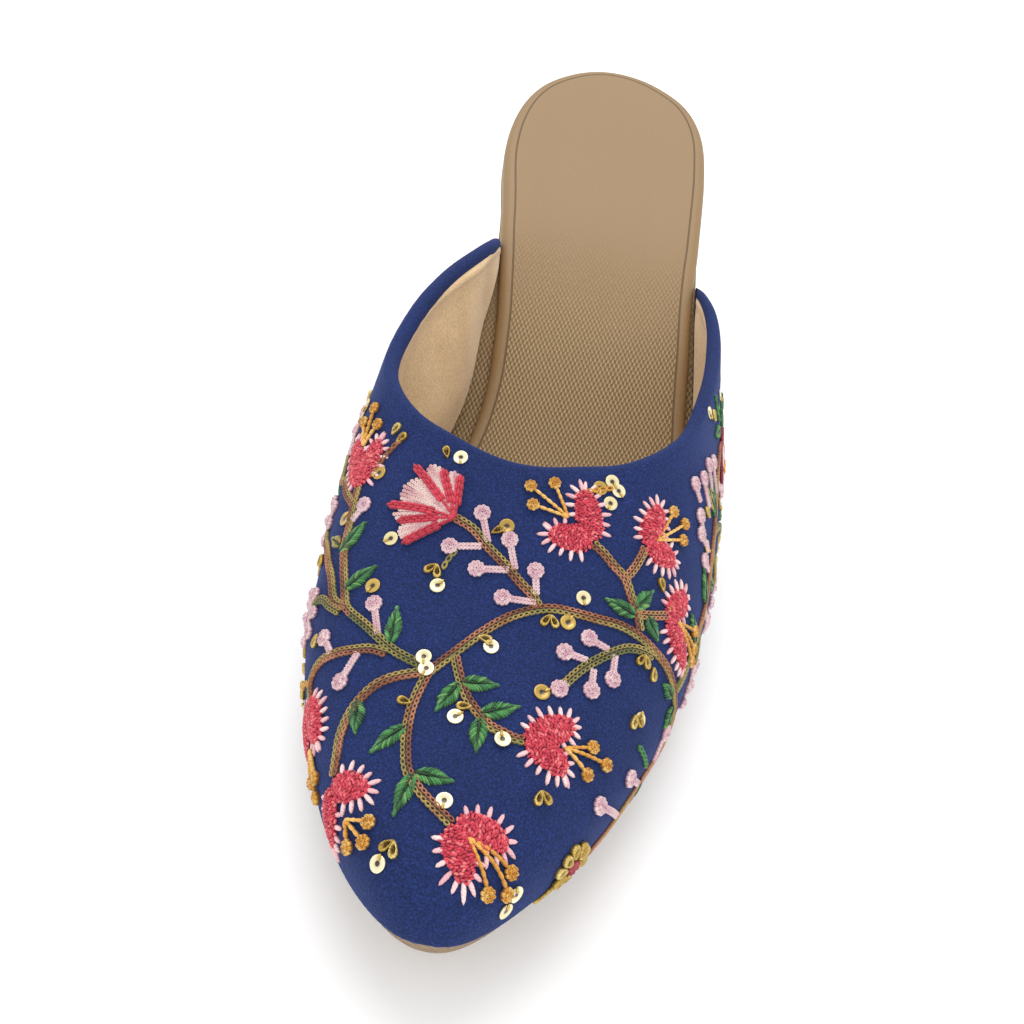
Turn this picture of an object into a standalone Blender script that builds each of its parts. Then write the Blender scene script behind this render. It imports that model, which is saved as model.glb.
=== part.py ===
"""Heeled mule, left shoe: upper, insole, outsole, heel block and heel tip.

Frame: metres, +Z up, toe towards -Y, heel towards +Y, medial side towards -X.
The floor is Z = 0 and the origin lies under the middle of the shoe's box.
Stations are distances in millimetres from the back of the heel, along the foot.
"""
import math

import bpy

MM = 0.001

# ---- driving dimensions, in millimetres -----------------------------------
LENGTH = 250.0            # back of the heel to the tip of the toe
GAP = 0.3                 # clearance between pieces that touch
CENTRE_X = 1.45           # shift that puts the box's middle on the origin
CENTRE_Y = 0.03

WALL = 2.0                # fabric, interlining and lining together
TUCK = 18.0               # degrees below the bulge at which the wall meets the sole
FULLNESS = 0.07           # how far the upper's sections stand out beyond an ellipse, at 45 degrees

INSOLE_THICK = 4.8
INSOLE_ROLL = 2.0         # radius of the wrapped edge
INSOLE_INSET = 2.7        # how far the footbed lies inside the feather line of the upper

OUTSOLE_THICK = 4.0
OUTSOLE_BEVEL = 0.8
OUTSOLE_END_THICK = 2.0   # at the breast of the heel

BREAST_TOP = 61.0         # back of the foot to the breast, at the seat
BREAST_FOOT = 59.0        # back of the foot to the breast, at the floor
HEEL_REAR_FOOT = 4.0      # back of the foot to the rear of the heel, at the floor
HEEL_FOOT_NARROW = 0.74   # width of the heel at the floor over its width at the seat
TIP_THICK = 5.0
TIP_BEVEL = 0.8

# The last's plan and bottom profile, a row for each section.
# station, axis: the middle of the section (+ is lateral), half: its half width,
# lift: height of the last's bottom above the floor.
SOLE = {
    "station": (0, 4, 12, 25, 45, 70, 95, 120, 135, 147, 158, 168, 182, 200, 222, 238, 246, 250),
    "axis": (0, 0.6, 1.1, 1.3, 1.5, 3.0, 4.2, 2.9, 1.7, 0.5, -0.6, -1.7, -3.1, -4.8, -6.4, -7.2, -7.1, -6.6),
    "half": (0, 12.3, 20.9, 25.7, 26.8, 25.3, 25.9, 30.0, 32.5, 34.1, 35.1, 35.3, 34.4, 31.6, 23.4, 14.5, 7.9, 0),
    "lift": (61.5, 60.3, 58.1, 54.8, 50.5, 43.1, 30.5, 14.9, 8.2, 4.9, 3.9, 4.1, 5.2, 7.1, 9.8, 12.5, 14.5, 15.9),
}

# The vamp, a row for each section.
# rise: ridge above the last's bottom, bulge: height of the widest line,
# ridge: sideways shift of the ridge (- is medial).
VAMP = {
    "station": (70, 100, 125, 143, 160, 180, 200, 220, 235, 245, 250),
    "rise": (78.0, 74.0, 70.5, 65.5, 57.5, 44.6, 32.0, 23.4, 18.4, 12.4, 0),
    "bulge": (19.0, 17.5, 15.5, 13.5, 11.2, 9.1, 7.8, 6.5, 5.5, 3.5, 0),
    "ridge": (-10.8, -10.6, -9.8, -8.3, -6.1, -3.2, -1.7, -0.8, -0.2, 0, 0),
}

# The collar, from the medial feather line (turn -1) over the ridge (turn 0) to the lateral one (turn 1).
# reach: distance back from the tip of the toe.
COLLAR = {
    "turn": (-1, -0.9, -0.75, -0.6, -0.45, -0.3, -0.15, 0, 0.15, 0.3, 0.45, 0.6, 0.75, 0.9, 1),
    "reach": (174.5, 164.8, 148.2, 127.0, 97.6, 81.6, 74.4, 71.3,
              72.9, 78.1, 91.3, 115.5, 139.2, 160.8, 174.0),
}
WING = LENGTH - COLLAR["reach"][0]        # station at which the longer wing ends


def round_turn(station):
    """Angle along the foot, 0 at the heel and pi at the toe, so that both ends come out round."""
    return math.acos(1.0 - 2.0 * min(max(station / LENGTH, 0.0), 1.0))


def curve(knots, values, at):
    """Catmull-Rom curve through the values at the knots, read at one place."""
    i = 0
    while i < len(knots) - 2 and at > knots[i + 1]:
        i += 1

    def slope(j):
        a, b = max(j - 1, 0), min(j + 1, len(knots) - 1)
        return (values[b] - values[a]) / (knots[b] - knots[a])

    span = knots[i + 1] - knots[i]
    t = (at - knots[i]) / span
    return ((2 * t**3 - 3 * t**2 + 1) * values[i] + (t**3 - 2 * t**2 + t) * span * slope(i)
            + (3 * t**2 - 2 * t**3) * values[i + 1] + (t**3 - t**2) * span * slope(i + 1))


def read(table, column, station):
    """Smooth value of a table's column at a station."""
    return curve([round_turn(row) for row in table["station"]], table[column], round_turn(station))


def place(x, station, z):
    """World position, in metres, of a point given across the foot, along it and above the floor."""
    return ((x + CENTRE_X) * MM, (LENGTH / 2 - station + CENTRE_Y) * MM, z * MM)


def lift(station):
    """Height of the last's bottom, which is level at the ball where the sole treads on the floor."""
    return max(read(SOLE, "lift", station), OUTSOLE_THICK)


def smoothstep(a, b, x):
    t = min(max((x - a) / (b - a), 0.0), 1.0)
    return t * t * (3 - 2 * t)


# ---- objects and materials -------------------------------------------------
def material(name, colour, roughness, metallic=0.0):
    mat = bpy.data.materials.new(name)
    mat.use_nodes = True
    shader = mat.node_tree.nodes["Principled BSDF"]
    shader.inputs["Base Color"].default_value = (*colour, 1.0)
    shader.inputs["Roughness"].default_value = roughness
    shader.inputs["Metallic"].default_value = metallic
    return mat


def add_object(name, points, faces, mat, collection):
    mesh = bpy.data.meshes.new(name)
    mesh.from_pydata(points, [], faces)
    mesh.validate()
    mesh.materials.append(mat)
    mesh.shade_smooth()
    mesh.set_sharp_from_angle(angle=math.radians(35))
    obj = bpy.data.objects.new(name, mesh)
    collection.objects.link(obj)
    return obj


def skin(rings):
    """Faces over a stack of equal closed rings, filled across at the first and the last.

    Each ring runs from its front down one side to its rear, and back up the other side.
    """
    count = len(rings[0])
    points = [point for ring in rings for point in ring]
    faces = []
    for r in range(len(rings) - 1):
        for k in range(count):
            a, b = r * count + k, r * count + (k + 1) % count
            faces.append((a, b, b + count, a + count))
    half = count // 2
    last = (len(rings) - 1) * count
    for k in range(half - 1):
        near = (k, k + 1, count - 2 - k, count - 1 - k)
        faces.append(tuple(reversed(near)))
        faces.append(tuple(last + index for index in near))
    return points, faces


def side_stations(front, rear):
    """Stations shared by every piece of the bottom, toe first and closer towards the round ends."""
    steps = 58
    rows = [LENGTH * (1.0 - math.cos(math.pi * (k + 0.6) / (steps + 0.2))) / 2 for k in range(steps)]
    inner = [row for row in reversed(rows) if rear + 1 < row < front - 1]
    return [min(front, rows[-1]), *inner, max(rear, rows[0])]


def around(stations):
    """Plan outline as (x, station), front to rear down the lateral side and back up the medial one."""
    lateral, medial = [], []
    for station in stations:
        axis, half = read(SOLE, "axis", station), read(SOLE, "half", station)
        lateral.append((axis + half, station))
        medial.append((axis - half, station))
    return lateral + medial[::-1]


def inset(outline, depth):
    """The outline moved inwards, square to itself, by a depth that may follow the station."""
    moved = []
    count = len(outline)
    for k, (x, station) in enumerate(outline):
        ahead, behind = outline[(k + 1) % count], outline[k - 1]
        across, along = ahead[0] - behind[0], ahead[1] - behind[1]
        size = math.hypot(across, along)
        moved.append((x + depth(station) * along / size, station - depth(station) * across / size))
    return moved


# ---- upper -----------------------------------------------------------------
def upper_point(station, turn):
    """Outer face of the upper; turn runs from -1 (medial feather) over the ridge to 1 (lateral)."""
    axis, half = read(SOLE, "axis", station), read(SOLE, "half", station)
    rise, bulge = read(VAMP, "rise", station), read(VAMP, "bulge", station)
    angle = math.radians(turn * (90 + TUCK))
    wide = half / math.cos(math.radians(TUCK))
    if abs(angle) < math.pi / 2:
        full = 1 + FULLNESS * math.sin(2 * angle) ** 2
        shift = read(VAMP, "ridge", station) * smoothstep(0, 1, math.cos(angle))
        x = axis + wide * full * math.sin(angle) + shift
        z = bulge + (rise - bulge) * full * math.cos(angle)
    else:
        x = axis + wide * math.sin(angle)
        z = bulge + bulge * math.cos(angle) / math.sin(math.radians(TUCK))
    return place(x, station, lift(station) + GAP + z)


def reach(turn):
    """Distance of the collar back from the tip of the toe."""
    return curve(COLLAR["turn"], COLLAR["reach"], turn)


def make_upper(mat, collection):
    """Outer face as a fan of rows from the toe to the collar, thickened inwards to the wall."""
    rows, columns = 36, 44
    points = [upper_point(LENGTH, 0)]
    for i in range(1, rows + 1):
        share = 1 - math.cos(math.pi / 2 * i / rows)
        for j in range(columns + 1):
            turn = math.sin(math.pi / 2 * (2 * j / columns - 1))
            points.append(upper_point(LENGTH - reach(turn) * share, turn))
    width = columns + 1
    faces = [(0, j + 2, j + 1) for j in range(columns)]
    for i in range(rows - 1):
        for j in range(columns):
            a = 1 + i * width + j
            faces.append((a, a + 1, a + width + 1, a + width))
    upper = add_object("upper", points, faces, mat, collection)
    wall = upper.modifiers.new("wall", "SOLIDIFY")
    wall.thickness = WALL * MM
    wall.offset = -1
    wall.use_even_offset = True


# ---- insole, outsole, heel and heel tip ------------------------------------
def make_insole(mat, collection):
    """Wrapped footbed: flush with the seat over the heel, inside the upper ahead of the wings."""
    edge = inset(around(side_stations(LENGTH, 0)),
                 lambda station: INSOLE_INSET * smoothstep(WING - 10, WING - 1, station))
    rings = []
    for depth, height in ((1.0, 0), (0, 1.2), (0, INSOLE_THICK - INSOLE_ROLL),
                          (0.3 * INSOLE_ROLL, INSOLE_THICK - 0.3 * INSOLE_ROLL),
                          (INSOLE_ROLL, INSOLE_THICK)):
        ring = inset(edge, lambda station: depth)
        rings.append([place(x, station, lift(station) + GAP + height) for x, station in ring])
    add_object("insole", *skin(rings), mat, collection)


def make_outsole(mat, collection):
    """Sole from the toe to the breast of the heel, thinner where it runs out at the breast."""
    edge = around(side_stations(LENGTH, BREAST_TOP + GAP))

    def thick(station):
        return OUTSOLE_THICK - (OUTSOLE_THICK - OUTSOLE_END_THICK) * smoothstep(130, BREAST_TOP, station)

    rings = []
    for depth, share in ((OUTSOLE_BEVEL, 1), (0, 0.75), (0, 0)):
        ring = inset(edge, lambda station: depth * smoothstep(BREAST_TOP, BREAST_TOP + 8, station))
        rings.append([place(x, station, lift(station) - share * thick(station)) for x, station in ring])
    add_object("outsole", *skin(rings), mat, collection)


def heel_ring(level):
    """Outline of the heel block as (x, station); level runs from 0 at its foot to 1 at the seat."""
    ring = []
    for x, station in around(side_stations(BREAST_TOP, 0)):
        narrow = HEEL_FOOT_NARROW + (1 - HEEL_FOOT_NARROW) * level
        share = station / BREAST_TOP
        front = BREAST_FOOT + (BREAST_TOP - BREAST_FOOT) * level
        rear = HEEL_REAR_FOOT * (1 - level)
        ring.append((x * narrow, rear + (front - rear) * share))
    return ring


def make_heel(mat, collection):
    """Block heel: a D in plan, flat at the breast, lofted from the seat down to the tip."""
    rings = []
    for level in (0, 0.25, 0.5, 0.75, 1):
        ring = []
        for (x, station), (seat_x, seat) in zip(heel_ring(level), heel_ring(1)):
            foot = TIP_THICK + GAP
            ring.append(place(x, station, foot + (lift(seat) - foot) * level))
        rings.append(ring)
    add_object("heel", *skin(rings), mat, collection)


def make_heel_tip(mat, collection):
    """Top lift under the heel block, with a small bevel where it meets the floor."""
    rings = []
    for depth, height in ((TIP_BEVEL, 0), (0, TIP_BEVEL), (0, TIP_THICK)):
        ring = inset(heel_ring(0), lambda station: depth)
        rings.append([place(x, station, height) for x, station in ring])
    add_object("heel_tip", *skin(rings), mat, collection)


def clear_scene():
    for obj in list(bpy.data.objects):
        bpy.data.objects.remove(obj, do_unlink=True)


def main():
    clear_scene()
    mule = bpy.data.collections.new("heeled_mule")
    bpy.context.scene.collection.children.link(mule)
    fabric = material("blue fabric", (0.026, 0.048, 0.205), 0.85)
    footbed = material("tan synthetic leather, footbed", (0.43, 0.29, 0.16), 0.5)
    wrap = material("tan synthetic leather, heel", (0.36, 0.235, 0.13), 0.55)
    sheet = material("tan sole sheet", (0.40, 0.29, 0.18), 0.7)
    lift_mat = material("yellow-brown plastic", (0.25, 0.155, 0.06), 0.55)
    make_upper(fabric, mule)
    make_insole(footbed, mule)
    make_outsole(sheet, mule)
    make_heel(wrap, mule)
    make_heel_tip(lift_mat, mule)


main()
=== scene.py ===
"""Looks of a heeled mule, left shoe: fabric upper with floral chain-stitch embroidery, lining,
embossed footbed, sole, wrapped block heel and heel tip.

The frame is metres: toe towards -Y, heel towards +Y, medial side towards -X, floor at Z = 0.
The shoe's own sizes are in millimetres. A place on the upper is given as (back, girth):
back is the level distance from the tip of the toe, and girth is the length round the upper from
the ridge of the vamp, + on the lateral side and - on the medial side.
"""

import math

import bpy
import numpy as np
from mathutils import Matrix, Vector


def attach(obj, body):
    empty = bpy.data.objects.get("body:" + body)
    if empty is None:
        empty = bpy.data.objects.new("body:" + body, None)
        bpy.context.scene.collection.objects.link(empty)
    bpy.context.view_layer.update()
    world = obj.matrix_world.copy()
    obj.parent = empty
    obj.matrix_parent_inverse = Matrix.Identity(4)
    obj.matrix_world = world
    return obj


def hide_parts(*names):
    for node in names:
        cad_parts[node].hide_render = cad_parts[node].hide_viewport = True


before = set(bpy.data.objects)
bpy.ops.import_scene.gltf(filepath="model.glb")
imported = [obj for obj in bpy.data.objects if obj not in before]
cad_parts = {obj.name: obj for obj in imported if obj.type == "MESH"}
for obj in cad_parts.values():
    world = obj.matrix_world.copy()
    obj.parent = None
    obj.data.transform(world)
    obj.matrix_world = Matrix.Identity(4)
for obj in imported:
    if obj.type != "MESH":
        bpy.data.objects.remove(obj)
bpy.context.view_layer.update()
random = np.random.default_rng(7)

MM = 0.001

# ---- sizes of the shoe, in millimetres ---------------------------------------------------
LENGTH = 250.0            # of the sole; a station is the level distance from its heel end
GAP = 0.3                 # between one part and the next
CENTRE_X = 1.45
CENTRE_Y = 0.03
WALL = 2.0                # fabric, stiffener and lining together
TUCK = 18.0               # degrees that the upper turns under past its widest
FULLNESS = 0.07           # how much fuller than an ellipse a section of the upper is
TOE_OVERHANG = 3.0        # the fabric hangs this far past the sole at the tip of the toe
TOE_MIDDLE = 205.0        # the station that the overhang spreads from
MEDIAL_OVERHANG = 0.6     # shares of it at the flanks of the toe
LATERAL_OVERHANG = 0.5
SOLE_THICK = 4.0
SOLE_END_THICK = 2.0
SOLE_BEVEL = 0.8
FOOTBED_THICK = 4.8
FOOTBED_ROLL = 2.2        # radius of its rolled edge
FOOTBED_LINE = 3.1        # distance of the pressed line from that edge
COVER_TOP = 1.2           # faces of the covered board over the last's bottom
COVER_BOTTOM = 0.4
BREAST = 61.0             # station of the front of the heel at the seat
BREAST_FOOT = 59.0        # and at its foot
HEEL_REAR_FOOT = 4.0      # how far the back of the heel leans in at its foot
HEEL_FOOT_NARROW = 0.74   # width of the foot as a share of the seat
HEEL_TIP = 5.0
WRAP = 0.2                # thickness of the leather round the heel

# The last's bottom by station: its middle, its half width and its height over the floor.
SOLE = {
    "station": (0, 4, 12, 25, 45, 70, 95, 120, 135, 147, 158, 168, 182, 200, 222, 238, 246, 250),
    "axis": (0, 0.6, 1.1, 1.3, 1.5, 3.0, 4.2, 2.9, 1.7, 0.5, -0.6, -1.7, -3.1, -4.6, -5.9, -6.9, -6.9, -6.6),
    "half": (0, 12.3, 20.9, 25.7, 26.8, 25.3, 25.9, 30.0, 32.5, 34.1, 35.1, 35.3, 34.4, 31.4, 22.6, 13.6,
             7.5, 0),
    "lift": (61.5, 60.3, 58.1, 54.8, 50.5, 43.1, 30.5, 14.9, 8.2, 4.9, 3.9, 4.1, 5.2, 7.1, 9.8, 12.5,
             14.5, 15.9),
}
# The upper by station: heights of its ridge and of its widest place over the bottom, and how far the ridge
# lies to the side.
VAMP = {
    "station": (70, 100, 125, 143, 160, 180, 200, 220, 235, 245, 250),
    "rise": (78.0, 74.0, 70.5, 65.5, 57.5, 44.6, 32.0, 23.4, 18.4, 12.4, 0),
    "bulge": (19.0, 17.5, 15.5, 13.5, 11.2, 9.1, 7.8, 6.5, 5.5, 3.5, 0),
    "ridge": (-10.8, -10.6, -9.8, -8.3, -6.1, -3.2, -1.7, -0.8, -0.2, 0, 0),
}
# Distance of the collar back from the tip of the toe.
COLLAR = {
    "turn": (-1, -0.9, -0.75, -0.6, -0.45, -0.3, -0.15, 0, 0.15, 0.3, 0.45, 0.6, 0.75, 0.9, 1),
    "reach": (176.5, 166.5, 148.6, 127.0, 97.6, 81.6, 74.4, 71.3,
              72.9, 78.1, 91.3, 115.5, 139.2, 160.8, 174.0),
}
# How far the footbed stands in from the feather line on either side.
FOOTBED = {
    "station": (0, 60, 72, 80, 90, 100, 110, 120, 135, 160, 200, 235, 250),
    "medial": (0, 0, 0.3, 0.9, 2.1, 4.3, 7.1, 8.5, 8.2, 6.5, 4.5, 4, 4),
    "lateral": (0, 0, 0.3, 1.0, 1.6, 1.9, 2.5, 2.8, 3, 3, 3, 3.5, 4),
}


# ---- the shape of the upper --------------------------------------------------------------
def curve(knots, values, at):
    """Catmull-Rom curve through the values at the knots, read at many places."""
    knots, values = np.asarray(knots, float), np.asarray(values, float)
    before = np.maximum(np.arange(len(knots)) - 1, 0)
    after = np.minimum(np.arange(len(knots)) + 1, len(knots) - 1)
    slopes = (values[after] - values[before]) / (knots[after] - knots[before])
    i = np.clip(np.searchsorted(knots, at) - 1, 0, len(knots) - 2)
    span = knots[i + 1] - knots[i]
    t = (at - knots[i]) / span
    return ((2 * t**3 - 3 * t**2 + 1) * values[i] + (t**3 - 2 * t**2 + t) * span * slopes[i]
            + (3 * t**2 - 2 * t**3) * values[i + 1] + (t**3 - t**2) * span * slopes[i + 1])


def round_turn(station):
    """Stations spread as angles, so that a curve can be round at the tips of heel and toe."""
    return np.arccos(1.0 - 2.0 * np.clip(np.asarray(station, float) / LENGTH, 0.0, 1.0))


def read(table, column, station):
    """A column of a table at a station."""
    return curve(round_turn(table["station"]), table[column], round_turn(station))


def lift(station):
    """Height of the last's bottom over the floor."""
    return np.maximum(read(SOLE, "lift", station), SOLE_THICK)


def smoothstep(a, b, x):
    """0 before a, 1 after b, and a smooth step between them."""
    t = np.clip((np.asarray(x, float) - a) / (b - a), 0.0, 1.0)
    return t * t * (3 - 2 * t)


def unit(vectors):
    """Vectors brought to length 1."""
    return vectors / np.maximum(np.linalg.norm(vectors, axis=-1, keepdims=True), 1e-9)


def place(x, station, z):
    """Points in the frame's directions, in millimetres."""
    return np.stack(np.broadcast_arrays(x + CENTRE_X, LENGTH / 2 - station + CENTRE_Y, z), -1)


def section_point(station, turn):
    """Outer face of the upper; turn runs from -1 (medial feather line) over the ridge to 1 (lateral)."""
    axis, half = read(SOLE, "axis", station), read(SOLE, "half", station)
    rise, bulge = read(VAMP, "rise", station), read(VAMP, "bulge", station)
    angle = np.radians(turn * (90 + TUCK))
    wide = half / math.cos(math.radians(TUCK))
    full = 1 + FULLNESS * np.sin(2 * angle) ** 2
    above = np.abs(angle) < math.pi / 2
    shift = read(VAMP, "ridge", station) * smoothstep(0, 1, np.cos(angle))
    x = axis + wide * np.sin(angle) * np.where(above, full, 1) + np.where(above, shift, 0)
    low = bulge + bulge * np.cos(angle) / math.sin(math.radians(TUCK))
    high = bulge + (rise - bulge) * full * np.cos(angle)
    height = np.where(above, high, low)
    z = lift(station) + GAP + height
    # Round the toe the fabric is drawn over its cemented margin and hangs a little past the sole.
    over = TOE_OVERHANG * smoothstep(0, 3, height) * (1 - smoothstep(9, 22, height))
    over = over * smoothstep(190, 238, station)
    out = unit(np.stack(np.broadcast_arrays(x - read(SOLE, "axis", TOE_MIDDLE), station - TOE_MIDDLE), -1))
    side_over = over * np.where(turn > 0, LATERAL_OVERHANG, MEDIAL_OVERHANG)
    return place(x + side_over * out[..., 0], station + over * out[..., 1], z)


def reach(turn):
    """Distance of the collar back from the tip of the toe."""
    return curve(COLLAR["turn"], COLLAR["reach"], turn)


def section_normal(station, turn):
    """Direction out of the upper."""
    along = section_point(station + 0.05, turn) - section_point(station - 0.05, turn)
    around = section_point(station, turn + 0.002) - section_point(station, turn - 0.002)
    return unit(np.cross(along, around))


CHART_STEP = 0.5
girths = np.arange(-110, 110 + CHART_STEP, CHART_STEP)
backs = np.arange(CHART_STEP, 178, CHART_STEP)


def turn_rows():
    """For each level distance from the toe, the turn at every girth."""
    fine = np.linspace(-1.15, 1.15, 461)
    middle = len(fine) // 2
    rows = []
    for back in backs:
        points = section_point(LENGTH - back, fine)
        steps = np.linalg.norm(np.diff(points, axis=0), axis=1)
        run = np.concatenate([[0], np.cumsum(steps)])
        rows.append(np.interp(girths, run - run[middle], fine))
    return np.array(rows)


TURN = turn_rows()


def turn_at(back, girth):
    """Turn at a place of the upper, between the rows."""
    i = np.clip((back - backs[0]) / CHART_STEP, 0, len(backs) - 1.001)
    j = np.clip((girth - girths[0]) / CHART_STEP, 0, len(girths) - 1.001)
    r, c = i.astype(int), j.astype(int)
    u, v = i - r, j - c
    return ((1 - u) * ((1 - v) * TURN[r, c] + v * TURN[r, c + 1])
            + u * ((1 - v) * TURN[r + 1, c] + v * TURN[r + 1, c + 1]))


# Soft troughs (-) and ridges (+) of the fabric: back, girth, length, width, direction in degrees
# from +girth towards +back, and height.
CREASES = (
    (100, 74, 46, 9, 66, -0.45), (92, 62, 34, 7, 70, 0.25), (128, 84, 40, 8, 62, -0.35),
    (104, -64, 44, 9, 114, -0.45), (92, -50, 34, 7, 110, 0.25), (132, -76, 38, 8, 118, -0.35),
    (74, 30, 30, 5, 10, -0.22), (74, -24, 30, 5, 170, -0.22), (20, 20, 22, 6, 60, -0.18),
    (44, -46, 30, 6, 80, -0.2), (50, 52, 30, 6, 100, -0.2),
)


def crease_height(back, girth):
    """How far the creases raise the fabric at a place."""
    height = np.zeros(np.broadcast(back, girth).shape)
    for middle_back, middle_girth, length, width, degrees, rise in CREASES:
        a = math.radians(degrees)
        along = (girth - middle_girth) * math.cos(a) + (back - middle_back) * math.sin(a)
        across = (back - middle_back) * math.cos(a) - (girth - middle_girth) * math.sin(a)
        height += rise * np.exp(-(2 * along / length) ** 2 - (2 * across / width) ** 2)
    return height


def on_upper(back, girth, height=0.0):
    """Points at a height above the outer face."""
    back, girth = np.asarray(back, float), np.asarray(girth, float)
    station, turn = LENGTH - back, turn_at(back, girth)
    rise = (height + crease_height(back, girth))[..., None]
    return section_point(station, turn) + section_normal(station, turn) * rise


def girth_at(station, turn):
    """Length round the upper from the ridge to a turn."""
    station, turn = np.broadcast_arrays(np.asarray(station, float), np.asarray(turn, float))
    shares = np.linspace(0, 1, 49)
    points = section_point(station[..., None], turn[..., None] * shares)
    return np.sign(turn) * np.linalg.norm(np.diff(points, axis=-2), axis=-1).sum(-1)


# ---- making meshes -----------------------------------------------------------------------
def deselect():
    """Back to object mode with nothing selected."""
    if bpy.context.object and bpy.context.object.mode != "OBJECT":
        bpy.ops.object.mode_set(mode="OBJECT")
    bpy.ops.object.select_all(action="DESELECT")


def finish_piece(piece, name, finish):
    """Names a piece, gives it its material and fixes it to the shoe."""
    piece.name = name
    piece.data.name = name
    piece.data.materials.clear()
    piece.data.materials.append(finish)
    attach(piece, "root")
    return piece


def shaped_grid(columns, rows, points, plan, edge=None):
    """A grid whose corners are moved to points, row by row.

    plan is its UV map in millimetres, and edge the distance in from the edge as an attribute. Poles and edges
    that meet are merged, and the faces are turned outwards.
    """
    deselect()
    bpy.ops.mesh.primitive_grid_add(x_subdivisions=columns - 1, y_subdivisions=rows - 1, size=1)
    piece = bpy.context.object
    piece.data.vertices.foreach_set("co", (points.reshape(-1, 3) * MM).ravel())
    corner = np.zeros(len(piece.data.loops), int)
    piece.data.loops.foreach_get("vertex_index", corner)
    piece.data.uv_layers[0].data.foreach_set("uv", plan.reshape(-1, 2)[corner].ravel())
    if edge is not None:
        piece.data.attributes.new("edge", "FLOAT", "POINT").data.foreach_set("value", edge.ravel())
    bpy.ops.object.mode_set(mode="EDIT")
    bpy.ops.mesh.select_all(action="SELECT")
    bpy.ops.mesh.remove_doubles(threshold=0.00001)
    bpy.ops.mesh.normals_make_consistent(inside=False)
    bpy.ops.object.mode_set(mode="OBJECT")
    bpy.ops.object.shade_smooth()
    return piece


def cosine_rows(first, last, rows):
    """Steps that are close together at both ends."""
    return first + (last - first) * (1 - np.cos(math.pi * np.linspace(0, 1, rows))) / 2


# ---- upper and lining --------------------------------------------------------------------
COLLAR_WALL = 3.4         # the wall at the collar, where the fabric is turned over a soft tape
COLLAR_END = 1.2          # the wall at the tips of the wings, by the footbed
COLLAR_SWELL = 9.0        # the wall thickens to that over this distance
COLLAR_RUN = 8.0          # where the rows of the vamp end and those of the collar begin
FOLD = 3.4                # depth of the turned edge inside the collar
FABRIC_FACE = 0.45        # depths in the wall: the inner face of the fabric,
LINING_BACK = 0.6         # and the hidden face of the lining
# The piped edge of the lining: distance past the turned edge, and depth in the wall.
LINING_EDGE = ((-0.9, 0.6), (-1.1, 0.8), (-0.9, 1.0), (-0.1, 1.08), (0.3, 1.12), (0.8, 1.08), (1.2, 1.0),
               (2.4, 1.0))


def wall_grid(path, columns, foot=1.0, spread=0.0):
    """Points of a shell of the upper, a row for each step of the path.

    A step is (share, run, depth, angle): share goes from 0 at the toe to 1 at a place that is run in from the
    collar, depth is how far the row lies towards the inside of the wall (0 to 1, or more), and angle turns
    round the rolled edge of the collar. foot is the turn where the shell ends, and spread is how far it
    stands in from the wall low down on the medial side of the opening.
    """
    turn = foot * np.sin(math.pi / 2 * np.linspace(-1, 1, columns))
    shares = np.linspace(0.2, 1, 160)
    lines = section_point(LENGTH - reach(turn)[None] * shares[:, None], turn[None])
    steps = np.linalg.norm(np.diff(lines, axis=0), axis=-1)
    to_collar = np.concatenate([steps[::-1].cumsum(0)[::-1], np.zeros((1, columns))])
    collar_way = unit(np.gradient(lines[-1], axis=0))
    line_way = unit(lines[-1] - lines[-5])
    slant = np.clip(np.linalg.norm(np.cross(collar_way, line_way), axis=-1), 0.3, 1)
    thin = smoothstep(0, 0.06, 1 - np.abs(turn))
    edge_wall = COLLAR_END + (COLLAR_WALL - COLLAR_END) * smoothstep(0, 0.3, 1 - np.abs(turn))

    points, plan = [], []
    for share, run, depth, angle in path:
        stop = np.array([np.interp(-run / slant[c], -to_collar[:, c], shares) for c in range(columns)])
        station = LENGTH - reach(turn) * np.maximum(stop * share, 1e-4)
        normal = section_normal(station, turn)
        girth = girth_at(station, turn)
        from_collar = slant * [np.interp(stop[c] * share, shares, to_collar[:, c]) for c in range(columns)]
        wall = WALL + (edge_wall - WALL) * (1 - smoothstep(0, COLLAR_SWELL, from_collar))
        proud = 0.1 * np.maximum(wall - WALL, 0) + crease_height(LENGTH - station, girth)
        outwards = unit(np.cross(normal, collar_way))
        outwards *= np.sign((outwards * line_way).sum(-1, keepdims=True))
        over = wall / 2 * math.sin(angle)
        under = wall * (depth + (1 - depth) * (1 - math.cos(angle)) / 2) * thin
        swell = spread * smoothstep(0.6, 0.88, -turn) * smoothstep(98, 119, station)
        row = section_point(station, turn) + outwards * over[:, None] + normal * (proud - under)[:, None]
        row -= unit(normal * (1, 1, 0)) * swell[:, None]
        row[:, 2] -= (GAP + 0.05) * (1 - thin)
        points.append(row)
        plan.append(np.stack([girth, LENGTH - station + 4 * depth + over], -1))
    return np.array(points), np.array(plan)


def make_upper(finish):
    """Fabric with its collar edge rolled inwards over the lining."""
    start = COLLAR_WALL / 2
    outer = [(share, COLLAR_RUN, 0, 0) for share in cosine_rows(0, 1, 100)]
    edge = [(1, run, 0, 0) for run in (7, 6, 5, 4.2, 3.4, 2.6, start)]
    rim = [(1, start, 0, angle) for angle in np.linspace(0, math.pi, 13)[1:]]
    fold = [(1, run, depth, 0) for run, depth in
            ((2.1, 1.01), (2.6, 1.03), (FOLD - 0.4, 1.04), (FOLD, 0.98), (FOLD, 0.7))]
    inner = [(share, COLLAR_RUN, FABRIC_FACE, 0) for share in np.linspace(1, 0, 26)]
    path = outer + edge + rim + fold + inner
    points, plan = wall_grid(path, 131)
    upper = shaped_grid(131, len(path), points, plan)
    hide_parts("upper")
    return finish_piece(upper, "upper_fabric", finish)


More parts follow.
